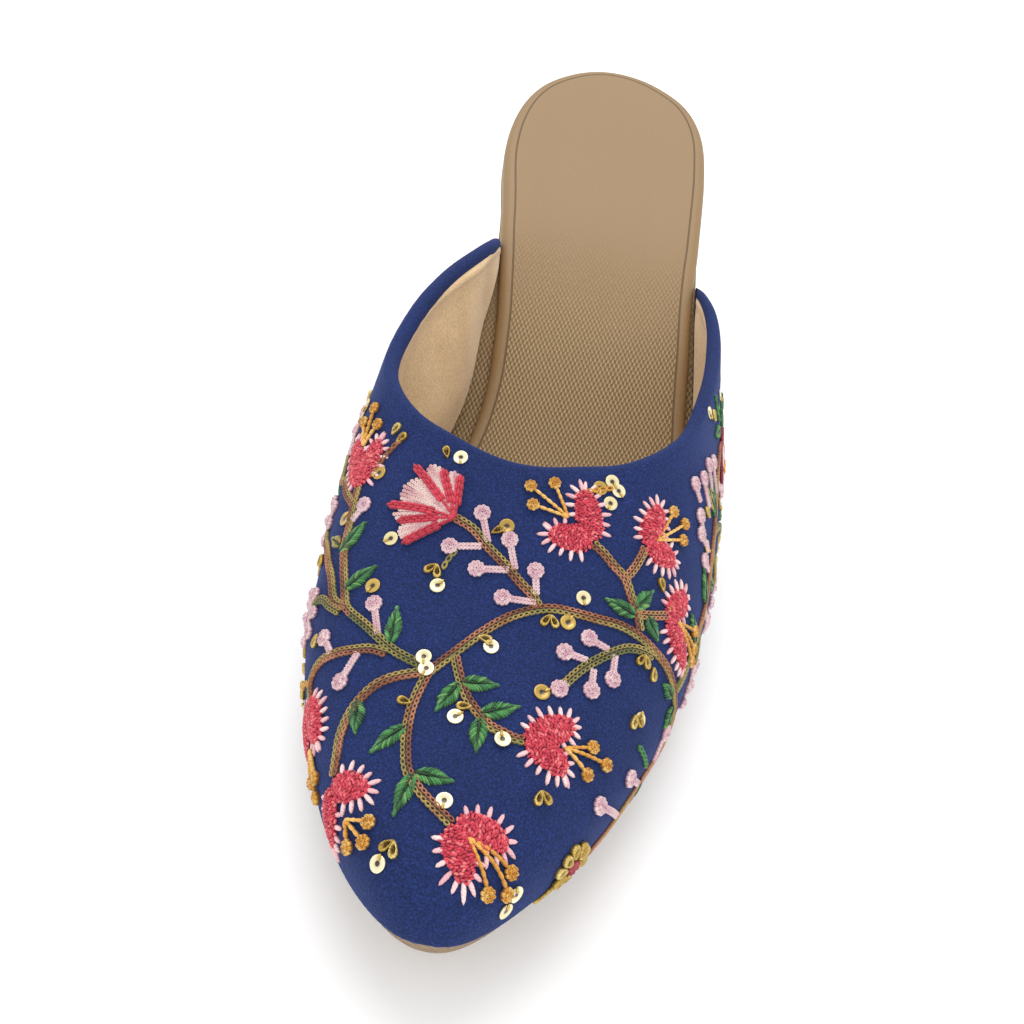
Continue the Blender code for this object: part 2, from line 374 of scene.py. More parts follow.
def make_lining(finish):
    """Thin synthetic lining, glued to the fabric and tucked under its rolled edge."""
    back = [(share, COLLAR_RUN, LINING_BACK, 0) for share in np.linspace(0, 1, 30)]
    edge = [(1, FOLD + past, depth, 0) for past, depth in LINING_EDGE]
    face = [(share, COLLAR_RUN, 1.0, 0) for share in cosine_rows(0, 1, 60)[::-1]]
    path = back + edge + face
    points, plan = wall_grid(path, 101, foot=0.985, spread=3.6)
    return finish_piece(shaped_grid(101, len(path), points, plan), "upper_lining", finish)


# ---- footbed, sole and heel --------------------------------------------------------------
# Soft dents (+) and swellings (-) of the footbed: x, station, half width, half length, depth.
DENTS = (
    (6, 100, 5, 16, 0.35), (-7, 96, 4, 20, 0.3), (13, 92, 3, 18, -0.25), (-1, 92, 3.5, 22, -0.2),
    (6, 128, 12, 7, 0.4),
)


def edge_distance(x, station, outline):
    """Distance in from a closed outline of (x, station) points."""
    distance = np.full(x.shape, 99.0)
    for start, stop in zip(outline, np.roll(outline, -1, axis=0)):
        way = stop - start
        right, ahead = x - start[0], station - start[1]
        share = np.clip((right * way[0] + ahead * way[1]) / max(way @ way, 1e-9), 0, 1)
        distance = np.minimum(distance, np.hypot(right - share * way[0], ahead - share * way[1]))
    return distance


def sides(station, medial, lateral):
    """Both sides of the last's bottom as (x, station) points, moved inwards by their insets."""
    axis, half = read(SOLE, "axis", station), read(SOLE, "half", station)
    lines = []
    for sign, inset in ((-1, medial), (1, lateral)):
        line = np.stack([axis + sign * half, station], -1)
        way = unit(np.gradient(line, axis=0))
        inwards = np.stack([-sign * way[:, 1], sign * way[:, 0]], -1)
        lines.append(line + inwards * np.broadcast_to(inset, station.shape)[:, None])
    return lines


def slab(left, right, top_face, bottom_face, columns):
    """A sheet that follows the last's bottom between two sides.

    Its faces are heights that depend on the place and on the distance in from the edge. Each row runs round
    the sheet: over the top, down the wall on the right, back underneath and up the wall on the left. The
    first row is drawn together to close the end.
    """
    across = (np.sin(math.pi / 2 * np.linspace(-1, 1, columns)) + 1) / 2
    flat = left[:, None] + (right - left)[:, None] * across[None, :, None]
    x, along = flat[..., 0], flat[..., 1]
    distance = edge_distance(x, along, np.concatenate([right, left[::-1]]))
    top = place(x, along, lift(along) + top_face(x, along, distance))
    bottom = place(x, along, lift(along) + bottom_face(x, along, distance))
    wall = np.array([0.06, 0.35, 0.65, 0.94])[None, :, None]
    near = top[:, -1:] + (bottom[:, -1:] - top[:, -1:]) * wall
    far = bottom[:, :1] + (top[:, :1] - bottom[:, :1]) * wall
    points = np.concatenate([top, near, bottom[:, ::-1], far, top[:, :1]], 1)
    drop = np.stack([3 * wall[..., 0], 0 * wall[..., 0]], -1)
    plan = [flat, flat[:, -1:] + drop, flat[:, ::-1], flat[:, :1] - drop[:, ::-1], flat[:, :1]]
    plan = np.concatenate(plan, 1)
    no_edge = np.zeros((len(flat), wall.size))
    edge = np.concatenate([distance, no_edge, distance[:, ::-1], no_edge, distance[:, :1]], 1)

    middle = (top[:1] + bottom[:1]) / 2
    left_end, right_end = middle[:, :1], middle[:, -1:]
    cap = [middle, right_end.repeat(wall.size, 1), middle[:, ::-1], left_end.repeat(wall.size + 1, 1)]
    points = np.concatenate([np.concatenate(cap, 1), points])
    plan, edge = (np.concatenate([rows[:1], rows]) for rows in (plan, edge))
    return shaped_grid(points.shape[1], len(points), points, plan, edge)


def footbed_top(x, station, distance):
    """A rolled edge, a pressed line inside it, and a soft dish with the dents of wear."""
    roll = np.clip(distance / FOOTBED_ROLL, 0, 1)
    rolled = FOOTBED_THICK - FOOTBED_ROLL * (1 - np.sqrt(1 - (1 - roll) ** 2))
    dish = 0.6 * smoothstep(FOOTBED_LINE + 0.3, FOOTBED_LINE + 11, distance)
    dents = np.zeros(x.shape)
    for middle_x, middle, wide, long, depth in DENTS:
        dents += depth * np.exp(-((x - middle_x) / wide) ** 2 - ((station - middle) / long) ** 2)
    return GAP + rolled - dish - dents * smoothstep(FOOTBED_LINE, FOOTBED_LINE + 3, distance)


def footbed_bottom(x, station, distance):
    """Flat, with a small roll at the edge."""
    return GAP + 0.5 * (1 - np.clip(distance / 0.5, 0, 1)) ** 2


def make_footbed(finish):
    """Wrapped footbed: flush with the seat over the heel, and standing in from the walls of the upper."""
    station = cosine_rows(0, LENGTH, 170)
    left, right = sides(station, read(FOOTBED, "medial", station), read(FOOTBED, "lateral", station))
    piece = slab(left, right, footbed_top, footbed_bottom, 131)
    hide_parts("insole")
    return finish_piece(piece, "footbed", finish)


def level_face(height):
    """A face at one height over the last's bottom."""
    return lambda x, station, distance: GAP + height + 0 * x


def make_insole_cover(finish):
    """Thin covered board that fills the floor of the upper and shows beside the footbed."""
    station = cosine_rows(76, LENGTH, 90)
    left, right = sides(station, 0.5, 0.5)
    piece = slab(left, right, level_face(COVER_TOP), level_face(COVER_BOTTOM), 61)
    return finish_piece(piece, "insole_cover", finish)


def sole_top(x, station, distance):
    """Rises inside the feather line to close the seam with the upper."""
    return 0.35 * smoothstep(0.1, 0.7, distance)


def sole_bottom(x, station, distance):
    """Underside with a small bevel, thinner where it runs out at the breast of the heel."""
    thick = SOLE_THICK - (SOLE_THICK - SOLE_END_THICK) * smoothstep(130, BREAST, station)
    return -thick + SOLE_BEVEL * (1 - np.clip(distance / SOLE_BEVEL, 0, 1)) ** 2


def make_sole(finish):
    """Sole sheet from the toe to the breast of the heel."""
    station = cosine_rows(BREAST + GAP, LENGTH, 120)
    left, right = sides(station, 0, 0)
    piece = slab(left, right, sole_top, sole_bottom, 61)
    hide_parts("outsole")
    return finish_piece(piece, "sole_sheet", finish)


def make_heel_wrap(finish):
    """Synthetic leather drawn round the heel block and butted in a seam down the middle of its breast."""
    left, right = sides(cosine_rows(0, BREAST, 70), 0, 0)
    half_breast = np.concatenate([np.linspace(0, 0.07, 9), np.linspace(0.1, 0.97, 12)])[:, None]
    middle, side = (left[-1] + right[-1]) / 2, (right[-1] - left[-1]) / 2
    seat = np.concatenate([middle + side * half_breast, right[::-1], left, middle - side * half_breast[::-1]])
    way = unit(np.roll(seat, -1, axis=0) - np.roll(seat, 1, axis=0))
    out = np.stack([-way[:, 1], way[:, 0]], -1)
    out *= np.sign((out * (seat - (0, BREAST / 2))).sum(-1, keepdims=True))
    # The two ends swell a little where they are turned in, and meet in a fine groove.
    from_seam = np.where(seat[:, 1] > BREAST - 0.01, np.abs(seat[:, 0] - middle[0]), 99)
    seam = 0.22 * np.exp(-(from_seam / 1.1) ** 2) - 0.34 * np.exp(-(from_seam / 0.22) ** 2)
    run = np.concatenate([[0], np.linalg.norm(np.diff(seat, axis=0), axis=1).cumsum()])
    # Rings from the foot (level 0) to the seat (1), with both edges turned in.
    levels = [0, 0, 0.006, *np.linspace(0.03, 0.96, 18), 0.985, 0.995, 0.998]
    prouds = [-WRAP, WRAP / 2, *[WRAP] * 20, WRAP / 2, -WRAP]
    foot = HEEL_TIP + GAP
    points, plan = [], []
    for level, proud in zip(levels, prouds):
        narrow = HEEL_FOOT_NARROW + (1 - HEEL_FOOT_NARROW) * level
        front = BREAST_FOOT + (BREAST - BREAST_FOOT) * level
        rear = HEEL_REAR_FOOT * (1 - level)
        flat = np.stack([seat[:, 0] * narrow, rear + (front - rear) * seat[:, 1] / BREAST], -1)
        flat += out * (proud + seam * (proud > 0))[:, None]
        height = foot + (lift(seat[:, 1]) - foot) * level
        row = place(flat[:, 0], flat[:, 1], height)
        points.append(np.concatenate([row, row[:1]]))
        plan.append(np.stack([np.append(run, run[-1]), np.append(height, height[0])], -1))
    points, plan = np.array(points), np.array(plan)
    return finish_piece(shaped_grid(points.shape[1], len(points), points, plan), "heel_wrap", finish)


# ---- stitches ----------------------------------------------------------------------------
# Each stitch is a small disc of so many sides, drawn up ring by ring: (radius, height, hollow_shade), in
# shares of its size. hollow_shade is 1 where the eye sees down into the shade between threads; there the
# colour is painted darker as painted shade.
STITCH_RINGS = {
    "link": (10, ((1, 0, 0.9), (0.98, 0.6, 0.25), (0.76, 1.0, 0), (0.5, 0.85, 0.35), (0.3, 0.4, 1))),
    "strand": (8, ((1, 0, 0.7), (0.95, 0.55, 0.1), (0.6, 0.95, 0), (0.25, 1.0, 0))),
    "knot": (8, ((1, 0, 0.8), (0.96, 0.6, 0.1), (0.62, 1.0, 0), (0.28, 0.72, 0.35))),
    "tuft": (6, ((1, 0, 0.45), (0.9, 0.6, 0.05), (0.4, 1.0, 0))),
    # The pad is all painted shade: it is drawn in the dark colour of the gaps between the knots on it.
    "pad": (16, ((1, 0, 1), (0.92, 0.55, 1), (0.7, 0.85, 1), (0.4, 1.0, 1))),
    # The sequin's hole and the foot of its rim are painted shade.
    "sequin": (18, ((1, 0.2, 0.3), (0.98, 0.5, 0), (0.9, 0.56, 0), (0.62, 0.4, 0), (0.38, 0.34, 0.2),
                    (0.26, 0.32, 1), (0.18, 0.28, 1))),
    "loop": (12, ((1, 0, 0.6), (0.97, 0.7, 0), (0.78, 1.0, 0), (0.58, 0.75, 0.3), (0.4, 0.25, 1))),
}


def model_stitch(corner_count, rings):
    """Corners, painted shade of the hollows, and faces of one stitch, modelled from a disc."""
    deselect()
    bpy.ops.mesh.primitive_circle_add(vertices=corner_count, radius=0.5 * rings[0][0], fill_type="NGON",
                                      location=(0, 0, rings[0][1]))
    bpy.ops.object.transform_apply(location=True)
    piece = bpy.context.object
    bpy.ops.object.mode_set(mode="EDIT")
    bpy.ops.mesh.select_all(action="SELECT")
    for (wide, low, _), (narrow, high, _) in zip(rings, rings[1:]):
        bpy.ops.mesh.extrude_region_move(TRANSFORM_OT_translate={"value": (0, 0, high - low)})
        bpy.ops.transform.resize(value=(narrow / wide, narrow / wide, 1), center_override=(0, 0, 0))
    bpy.ops.mesh.select_all(action="SELECT")
    bpy.ops.mesh.normals_make_consistent(inside=False)
    bpy.ops.object.mode_set(mode="OBJECT")
    corners = np.array([v.co for v in piece.data.vertices])
    sizes = np.array([[0.5 * r, h] for r, h, _ in rings])
    flat = np.stack([np.hypot(corners[:, 0], corners[:, 1]), corners[:, 2]], -1)
    nearest = np.abs(flat[:, None] - sizes[None]).sum(-1).argmin(1)
    hollow_shade = np.array([rings[k][2] for k in nearest])
    loops = np.array([loop.vertex_index for loop in piece.data.loops])
    counts = np.array([face.loop_total for face in piece.data.polygons])
    bpy.data.objects.remove(piece)
    return corners, hollow_shade, loops, counts


STITCHES = {name: model_stitch(*rings) for name, rings in STITCH_RINGS.items()}
STITCH_SUNK = 0.05        # depth of the foot of a stitch in the fabric
sewn = {}


def slopes(place_on):
    """Steps in space for one step of back and one of girth."""
    back, girth = place_on[..., 0], place_on[..., 1]
    step = 0.4
    by_back = (on_upper(back + step, girth) - on_upper(back - step, girth)) / (2 * step)
    by_girth = (on_upper(back, girth + step) - on_upper(back, girth - step)) / (2 * step)
    return by_back, by_girth


def handedness():
    """1 where back x girth points out of the shoe, or -1."""
    by_back, by_girth = slopes(np.array([40.0, 0.0]))
    outwards = section_normal(np.array(LENGTH - 40.0), np.array(0.0))
    return float(np.sign(np.cross(by_back, by_girth) @ outwards))


OUTWARD = handedness()


def sideways(place_on, way):
    """The (back, girth) step that is 1 mm long and square to a way over the upper, to its right."""
    by_back, by_girth = slopes(place_on)
    back_back = (by_back * by_back).sum(-1)
    back_girth = (by_back * by_girth).sum(-1)
    girth_girth = (by_girth * by_girth).sum(-1)
    side = np.stack([-(back_girth * way[..., 0] + girth_girth * way[..., 1]),
                     back_back * way[..., 0] + back_girth * way[..., 1]], -1)
    space = by_back * side[..., :1] + by_girth * side[..., 1:]
    side = side / np.maximum(np.linalg.norm(space, axis=-1, keepdims=True), 1e-9)
    ahead = by_back * way[..., :1] + by_girth * way[..., 1:]
    facing = np.sign((np.cross(by_back, by_girth) * np.cross(space, ahead)).sum(-1, keepdims=True))
    return side * facing * OUTWARD


def work_frame(centre, towards):
    """Rows: the (back, girth) steps for 1 mm towards a place and for 1 mm to the right of it."""
    centre, towards = np.asarray(centre, float), np.asarray(towards, float)
    way = towards - centre
    by_back, by_girth = slopes(centre)
    ahead = way / np.linalg.norm(by_back * way[0] + by_girth * way[1])
    return np.stack([ahead, sideways(centre, way)])


def ray(angle):
    """Step of 1 mm as (ahead, right), at an angle in radians."""
    return np.stack([np.cos(angle), np.sin(angle)], -1)


def straight(start, stop):
    """Distance through space between two places on the upper."""
    return np.linalg.norm(np.diff(on_upper(*np.array([start, stop], float).T), axis=0))


def sew(piece, stitch, start, stop, width, height, shade, rise=0.0):
    """Adds stitches from start to stop, each a (back, girth), to a piece."""
    start, stop = np.atleast_2d(np.asarray(start, float)), np.atleast_2d(np.asarray(stop, float))
    sizes = [np.broadcast_to(np.asarray(size, float), len(start)) for size in (width, height, shade, rise)]
    sewn.setdefault(piece, []).append((stitch, start, stop, *sizes))


def make_embroidery(piece_name, finish):
    """All the stitches of one thread, laid on the upper and joined."""
    points, plans, hollow_shades, shades, loops, counts = [], [], [], [], [], []
    first = 0
    for stitch, start, stop, width, height, shade, rise in sewn[piece_name]:
        corners, hollow_shade, corner_loop, corner_count = STITCHES[stitch]
        middle, way = (start + stop) / 2, stop - start
        side = sideways(middle, way)
        by_back, by_girth = slopes(middle)
        length = np.linalg.norm(by_back * way[:, :1] + by_girth * way[:, 1:], axis=-1)
        x, y, z = corners[None, :, 0], corners[None, :, 1], corners[None, :, 2]
        if stitch == "loop":  # pointed at its foot and wide at its tip
            x = x * (0.95 + 1.1 * y)
        across = x * width[:, None]
        chart = middle[:, None] + way[:, None] * y[..., None] + side[:, None] * across[..., None]
        above = rise[:, None] + z * height[:, None] - STITCH_SUNK
        points.append(on_upper(chart[..., 0], chart[..., 1], above).reshape(-1, 3))
        jitter = random.uniform(0, 9, (len(start), 1))
        plans.append(np.stack([across + jitter, y * length[:, None] + jitter], -1).reshape(-1, 2))
        hollow_shades.append(np.tile(hollow_shade, len(start)))
        shades.append(np.repeat(shade, len(corners)))
        offsets = first + len(corners) * np.arange(len(start))
        loops.append((corner_loop[None] + offsets[:, None]).ravel())
        counts.append(np.tile(corner_count, len(start)))
        first += len(corners) * len(start)
    points, loops, counts = np.concatenate(points), np.concatenate(loops), np.concatenate(counts)

    mesh = bpy.data.meshes.new(piece_name)
    mesh.vertices.add(len(points))
    mesh.vertices.foreach_set("co", (points * MM).ravel())
    mesh.loops.add(len(loops))
    mesh.loops.foreach_set("vertex_index", loops)
    mesh.polygons.add(len(counts))
    mesh.polygons.foreach_set("loop_start", np.concatenate([[0], counts.cumsum()[:-1]]))
    mesh.polygons.foreach_set("use_smooth", np.ones(len(counts), bool))
    mesh.update(calc_edges=True)
    mesh.uv_layers.new(name="thread").data.foreach_set("uv", np.concatenate(plans)[loops].ravel())
    mesh.attributes.new("shade", "FLOAT", "POINT").data.foreach_set("value", np.concatenate(shades))
    mesh.attributes.new("hollow_shade", "FLOAT", "POINT").data.foreach_set("value", np.concatenate(hollow_shades))
    mesh.validate()
    piece = bpy.data.objects.new(piece_name, mesh)
    bpy.context.scene.collection.objects.link(piece)
    return finish_piece(piece, piece_name, finish)


# ---- rows and motifs -----------------------------------------------------------------------
def stitch_line(points, pitch):
    """Places a stitch apart along a smooth line through the points."""
    points = np.asarray(points, float)
    knots = np.concatenate([[0], np.linalg.norm(np.diff(points, axis=0), axis=1).cumsum()])
    fine = np.linspace(0, knots[-1], max(int(knots[-1] * 4), 8))
    line = np.stack([curve(knots, points[:, 0], fine), curve(knots, points[:, 1], fine)], -1)
    steps = np.linalg.norm(np.diff(on_upper(line[:, 0], line[:, 1]), axis=0), axis=1)
    run = np.concatenate([[0], steps.cumsum()])
    at = np.linspace(0, run[-1], max(round(run[-1] / pitch), 1) + 1)
    return np.stack([np.interp(at, run, line[:, 0]), np.interp(at, run, line[:, 1])], -1)


def beside(line, offset):
    """A line moved to its right."""
    return line + sideways(line, np.gradient(line, axis=0)) * offset


DYE_RUN = 17.0            # stitches from one place of a space-dyed thread to the next of the same shade


def drift(count, low, high):
    """Shade of a space-dyed thread along a row."""
    at = np.arange(count)
    swing = 0.5 + 0.42 * np.sin(2 * math.pi * (at / DYE_RUN + random.uniform()))
    return np.clip(low + (high - low) * swing + random.normal(0, 0.07, count), 0, 1)


def chain(piece, points, low, high, width, height, pitch=1.2, offset=0.0, rise=0.0, stitch="link"):
    """One row of chain stitch, or of another stitch, in shades from low to high."""
    line = beside(stitch_line(points, pitch), offset)
    start, step = line[:-1], np.diff(line, axis=0)
    sew(piece, stitch, start - 0.12 * step, start + 1.22 * step, width, height,
        drift(len(start), low, high), rise)


VINE_WIDTH = 1.75
# The threads of the two rows of a vine, and the span of shades of each.
VINE_THREADS = {
    "brown": (("vine_rust_thread", 0.1, 0.7), ("vine_olive_thread", 0.4, 1.0)),
    "olive": (("vine_olive_thread", 0.0, 0.45), ("vine_olive_thread", 0.25, 0.7)),
    "coral": (("vine_rust_thread", 0.45, 0.8), ("vine_rust_thread", 0.6, 1.0)),
}


def vine(look, points):
    """Two rows of chain stitch side by side, over a dark core strand that is painted shade in the holes of
    the chain.
    """
    core = stitch_line(points, 1.4)
    step = np.diff(core, axis=0)
    # painted shade: a dark strand under the rows darkens the holes of the chain
    sew("vine_shade_core", "strand", core[:-1] - 0.2 * step, core[1:] + 0.2 * step, 0.6, 0.5, 0.5)
    for offset, (piece, low, high) in zip((-VINE_WIDTH / 4, VINE_WIDTH / 4), VINE_THREADS[look]):
        chain(piece, points, low, high, VINE_WIDTH * 0.47, 0.62, 0.98, offset)


def whorl(piece, centre, size, rise=0.05):
    """A round head: two rings of small knots over a pad in the dark colour of painted shade."""
    centre = np.asarray(centre, float)
    frame_here = work_frame(centre, centre + (1, 0.2))
    pad = frame_here[0] * size * 0.42
    sew(piece, "pad", centre - pad, centre + pad, size * 0.84, 0.5 + rise, 0.4)
    outer = (10 if size > 2.6 else 8, 0.2, 0.5, 0.31, 0.3, 0.1)
    inner = (5, 0.02, 0.27, 0.24, 0.1, 0.3)
    for count, near, far, wide, darkest, over in (outer, inner):
        out = ray(2 * math.pi * (np.arange(count) + random.uniform()) / count)
        sew(piece, "knot", centre + out * size * near @ frame_here, centre + out * size * far @ frame_here,
            size * wide, 0.75, random.uniform(darkest, 1, count), rise + over)


def lollipop(head, base, size=3.05, stem=1.2):
    """A whorled head on a stem of two rows of knots."""
    head, base = np.asarray(head, float), np.asarray(base, float)
    neck = head + work_frame(head, base)[0] * size * 0.42
    line = (neck, (neck + base) / 2, base)
    if straight(head, base) > size * 0.6:
        for offset in (-stem / 4, stem / 4):
            chain("mauve_thread", line, 0.4, 1.0, stem * 0.58, 0.6, 0.62, offset, 0, "knot")
    whorl("mauve_thread", head, size)


def star(centre, radius, first):
    """Eight short lollipops, every other one a little longer, round a middle."""
    first = math.radians(first)
    frame_here = work_frame(centre, np.add(centre, (math.sin(first), math.cos(first))))
    for k in range(8):
        way = ray(2 * math.pi * k / 8)
        long = radius * (1 if k % 2 == 0 else 0.9)
        lollipop(way * (long - 1) @ frame_here + centre, way * 0.6 @ frame_here + centre, 2.3, 1.3)
    whorl("mauve_thread", centre, 2.0, 0.3)


LOBE_HALF_WIDTH = 2.4
TUFT_ROWS = 0.36          # distance from one row of a lobe's tufts to the next
TUFT_PITCH = 0.64         # distance along a row
SPIKE_PITCH = 1.3


def outside(points, lobe):
    """Less than 1 inside a lobe, 1 on its edge and more outside it."""
    centre, way, half_long = lobe
    u = (points - centre) @ way
    v = (points - centre) @ np.array([-way[1], way[0]])
    return (u / half_long) ** 2 + (v / LOBE_HALF_WIDTH) ** 2


def fill_lobe(tip, frame_here, lobe):
    """Rows of tufts that lean this way and that, over a pad in the dark colour of painted shade."""
    centre, way, half_long = lobe
    side = np.array([-way[1], way[0]])
    ends = np.array([centre - way * half_long * 0.9, centre + way * half_long * 0.9]) @ frame_here + tip
    sew("heart_thread", "pad", ends[0], ends[1], LOBE_HALF_WIDTH * 1.9, 0.75, 0.2)
    for row, u in enumerate(np.arange(-half_long + 0.25, half_long - 0.1, TUFT_ROWS)):
        span = LOBE_HALF_WIDTH * math.sqrt(max(1 - (u / half_long) ** 2, 0))
        v = np.arange(-span + (0.1, 0.42)[row % 2], span, TUFT_PITCH)
        if not len(v):
            continue
        spots = centre + (u - 0.09 * v**2)[:, None] * way + v[:, None] * side
        spots += random.normal(0, 0.08, spots.shape)
        crown = np.clip(1 - outside(spots, lobe), 0, 1)
        lean = random.normal(0, 0.4, len(v)) - 0.18 * v
        step = (np.cos(lean)[:, None] * side + np.sin(lean)[:, None] * way) * 0.45
        sew("heart_thread", "tuft", (spots - step) @ frame_here + tip, (spots + step) @ frame_here + tip,
            0.48, 0.38, random.uniform(0.0, 1, len(v)) ** 1.2, 0.6 * crown ** 0.6 + 0.12)


def edge_lobe(tip, frame_here, lobe, other):
    """Pale spikes round the edge of a lobe, but none in the notch or over the other lobe."""
    centre, way, half_long = lobe
    side = np.array([-way[1], way[0]])
    pitch = SPIKE_PITCH / ((half_long + LOBE_HALF_WIDTH) / 2)
    a = (np.arange(0, 2 * math.pi, pitch) + random.uniform(0, 0.5))[:, None]
    rim = centre + np.cos(a) * way * half_long + np.sin(a) * side * LOBE_HALF_WIDTH
    outwards = unit(np.cos(a) * way / half_long + np.sin(a) * side / LOBE_HALF_WIDTH)
    clear = (outside(rim + outwards * 1.6, other) > 1) & (outside(rim, other) > 1)
    keep = clear & (np.linalg.norm(rim, axis=1) > 1.6)
    rim, outwards = rim[keep], outwards[keep]
    long = random.uniform(1.4, 2.1, len(rim))[:, None]
    sew("spike_thread", "strand", (rim - outwards * 0.8) @ frame_here + tip,
        (rim + outwards * long) @ frame_here + tip, 0.8, 0.55, random.uniform(0.2, 1, len(rim)))


def heart(tip, apexes, berries, root):
    """Two padded lobes from one tip to their apexes, and stamens from the notch or another root."""
    tip = np.asarray(tip, float)
    frame_here = work_frame(tip, np.mean(apexes, axis=0))
    apexes = [(np.asarray(apex, float) - tip) @ np.linalg.inv(frame_here) for apex in apexes]
    lobes = [(apex * 0.54, apex / np.linalg.norm(apex), np.linalg.norm(apex) * 0.5) for apex in apexes]
    for lobe, other in zip(lobes, lobes[::-1]):
        fill_lobe(tip, frame_here, lobe)
        edge_lobe(tip, frame_here, lobe, other)
    if root is None:
        root = tip + (np.mean(apexes, axis=0) * 0.45) @ frame_here
    stamens(root, berries)


def stamens(root, berries):
    """Thin strands from a root, each with a round berry at its end."""
    root = np.asarray(root, float)
    for berry in berries:
        chain("berry_thread", (root, (root + berry) / 2, berry), 0.3, 0.9, 0.62, 0.6, 1.2, 0, 0.3, "strand")
        whorl("berry_thread", berry, 2.3, 0.2)


def leaf(base, tip, width=3.0, piece="leaf_thread"):
    """Fishbone stitch: slanting strands from a dark vein to the edge."""
    frame_here = work_frame(base, tip)
    length = straight(base, tip)
    at = np.arange(0.0, 0.9, 0.4 / length)
    edge = at + 0.16 + 0.1 * np.sin(math.pi * at)
    wide = width / 2 * np.sin(math.pi * np.clip(edge, 0, 1) ** 0.85)
    for side in (-1, 1):
        inner = np.stack([at * length, 0.1 * side * np.ones_like(at)], -1)
        outer = np.stack([np.minimum(edge, 1.04) * length, side * wide], -1)
        outer += random.normal(0, 0.06, outer.shape)
        sew(piece, "strand", inner @ frame_here + base, outer @ frame_here + base, 0.5, 0.62,
            random.uniform(0.0, 1, len(at)), 0.05)
    vein = np.array([[-0.6, 0], [length * 0.45, 0], [length * 0.92, 0]]) @ frame_here + base
    sew("leaf_vein_thread", "strand", vein[:-1], vein[1:] + 0.1 * (vein[1:] - vein[:-1]), 0.34, 0.7, 0.0, 0.1)


vine_places = []


def nearest_stem(place_at):
    """The place of the vines that is nearest."""
    stems = np.concatenate(vine_places)
    return stems[np.linalg.norm(stems - place_at, axis=1).argmin()]


def sequin(centre, size=2.6, piece="ivory_sequins"):
    """A cupped disc held by a stitch that comes up through its hole and goes down towards the stem."""
    stem = nearest_stem(centre)
    rise = 0.35 if np.linalg.norm(stem - centre) > 1.6 else 0.75
    radius = work_frame(centre, stem + (0.01, 0))[0] * size / 2
    sew(piece, "sequin", centre - radius, centre + radius, size, 0.7, random.uniform(), rise - 0.3)
    sew("metal_thread", "strand", centre + radius * 0.25, centre + radius * 1.15, 0.5, 0.4, 0.7, rise)


DROP_LENGTH = 2.6
DROP_WIDTH = 1.35


def drops(place_at, spread=(0,)):
    """Gold loops from one foot that point away from the nearest stem; spread is their angles."""
    frame_here = -work_frame(place_at, nearest_stem(place_at))
    foot = place_at - frame_here[0] * DROP_LENGTH / 2
    for degrees in spread:
        tip = foot + ray(math.radians(degrees)) * DROP_LENGTH @ frame_here
        sew("metal_thread", "loop", foot, tip, DROP_WIDTH, 0.8, random.uniform(0.2, 0.9), 0.05)


def knot(piece, spot, frame_here, rise):
    """One round knot."""
    half = frame_here[0] * 0.5
    sew(piece, "knot", spot - half, spot + half, 1.0, 0.9, random.uniform(0.2, 0.8), rise)


def daisy(centre, radius, petals, tail):
    """Gold loops round a middle of seven maroon knots, and a tail of chain stitch through some places."""
    frame_here = work_frame(centre, np.add(centre, (1, 0)))
    for k in range(petals):
        way = ray(2 * math.pi * (k + 0.5) / petals) @ frame_here
        sew("metal_thread", "loop", centre + way * 1.5, centre + way * (radius + 0.3), 1.9, 0.9,
            random.uniform(0.3, 0.9), 0.05 + 0.15 * (k % 2))
    for k in range(7):
        from_middle = 0.85 if k < 6 else 0
        knot("maroon_thread", centre + ray(2 * math.pi * k / 6) * from_middle @ frame_here, frame_here, 0.3)
    if tail:
        chain("metal_thread", (centre, *tail), 0.3, 0.8, 0.9, 0.6)


def satin(base, tip, width):
    """A pale petal of close strands lying side by side from its base to its round end."""
    frame_here = work_frame(base, tip)
    length = straight(base, tip)
    for v in np.arange(-width / 2 + 0.25, width / 2, 0.6):
        share = 2 * v / width
        near, far = 0.25 * length * share**2, length * (0.72 + 0.28 * math.sqrt(1 - share**2))
        ends = np.array([[near, v * 0.45], [far, v]]) @ frame_here + base
        pieces = max(round((far - near) / 2.2), 1)
        cuts = np.linspace(ends[0], ends[1], pieces + 1)
        step = np.diff(cuts, axis=0)
        sew("spike_thread", "strand", cuts[:-1] - 0.15 * step, cuts[1:] + 0.15 * step, 0.85, 0.75,
            random.uniform(0.5, 1.0, pieces), 0.15)


BLOSSOM_RADIUS = 8.0
# The outline of one petal of a blossom, as (out, aside).
PETAL_OUTLINE = ((1.4, 0.2), (3.2, 1.75), (5.6, 2.9), (7.6, 1.9), (8.3, 0), (7.6, -1.9), (5.6, -2.9),
                 (3.2, -1.75), (1.4, -0.2))


def blossom(centre):
    """A six-petalled flower in pale pink satin with maroon outlines and a middle of nine gold knots."""
    frame_here = work_frame(centre, np.add(centre, (1, 0.2)))
    for k in range(6):
        way = ray(2 * math.pi * (k + 0.3) / 6)
        side = np.array([-way[1], way[0]])
        base, tip = centre + way * 1.6 @ frame_here, centre + way * BLOSSOM_RADIUS @ frame_here
        satin(base, tip, 4.8)
        outline = [centre + (way * u + side * v) @ frame_here for u, v in PETAL_OUTLINE]
        chain("maroon_thread", outline, 0.2, 0.8, 0.85, 0.75, 1.05, rise=0.1)
        chain("maroon_thread", (base, (base + tip) / 2), 0.5, 1.0, 0.7, 0.6, 1.0, rise=0.4)
    for k in range(9):
        knot("berry_thread", centre + ray(2.4 * k) * 0.62 * math.sqrt(k) @ frame_here, frame_here, 0.45)


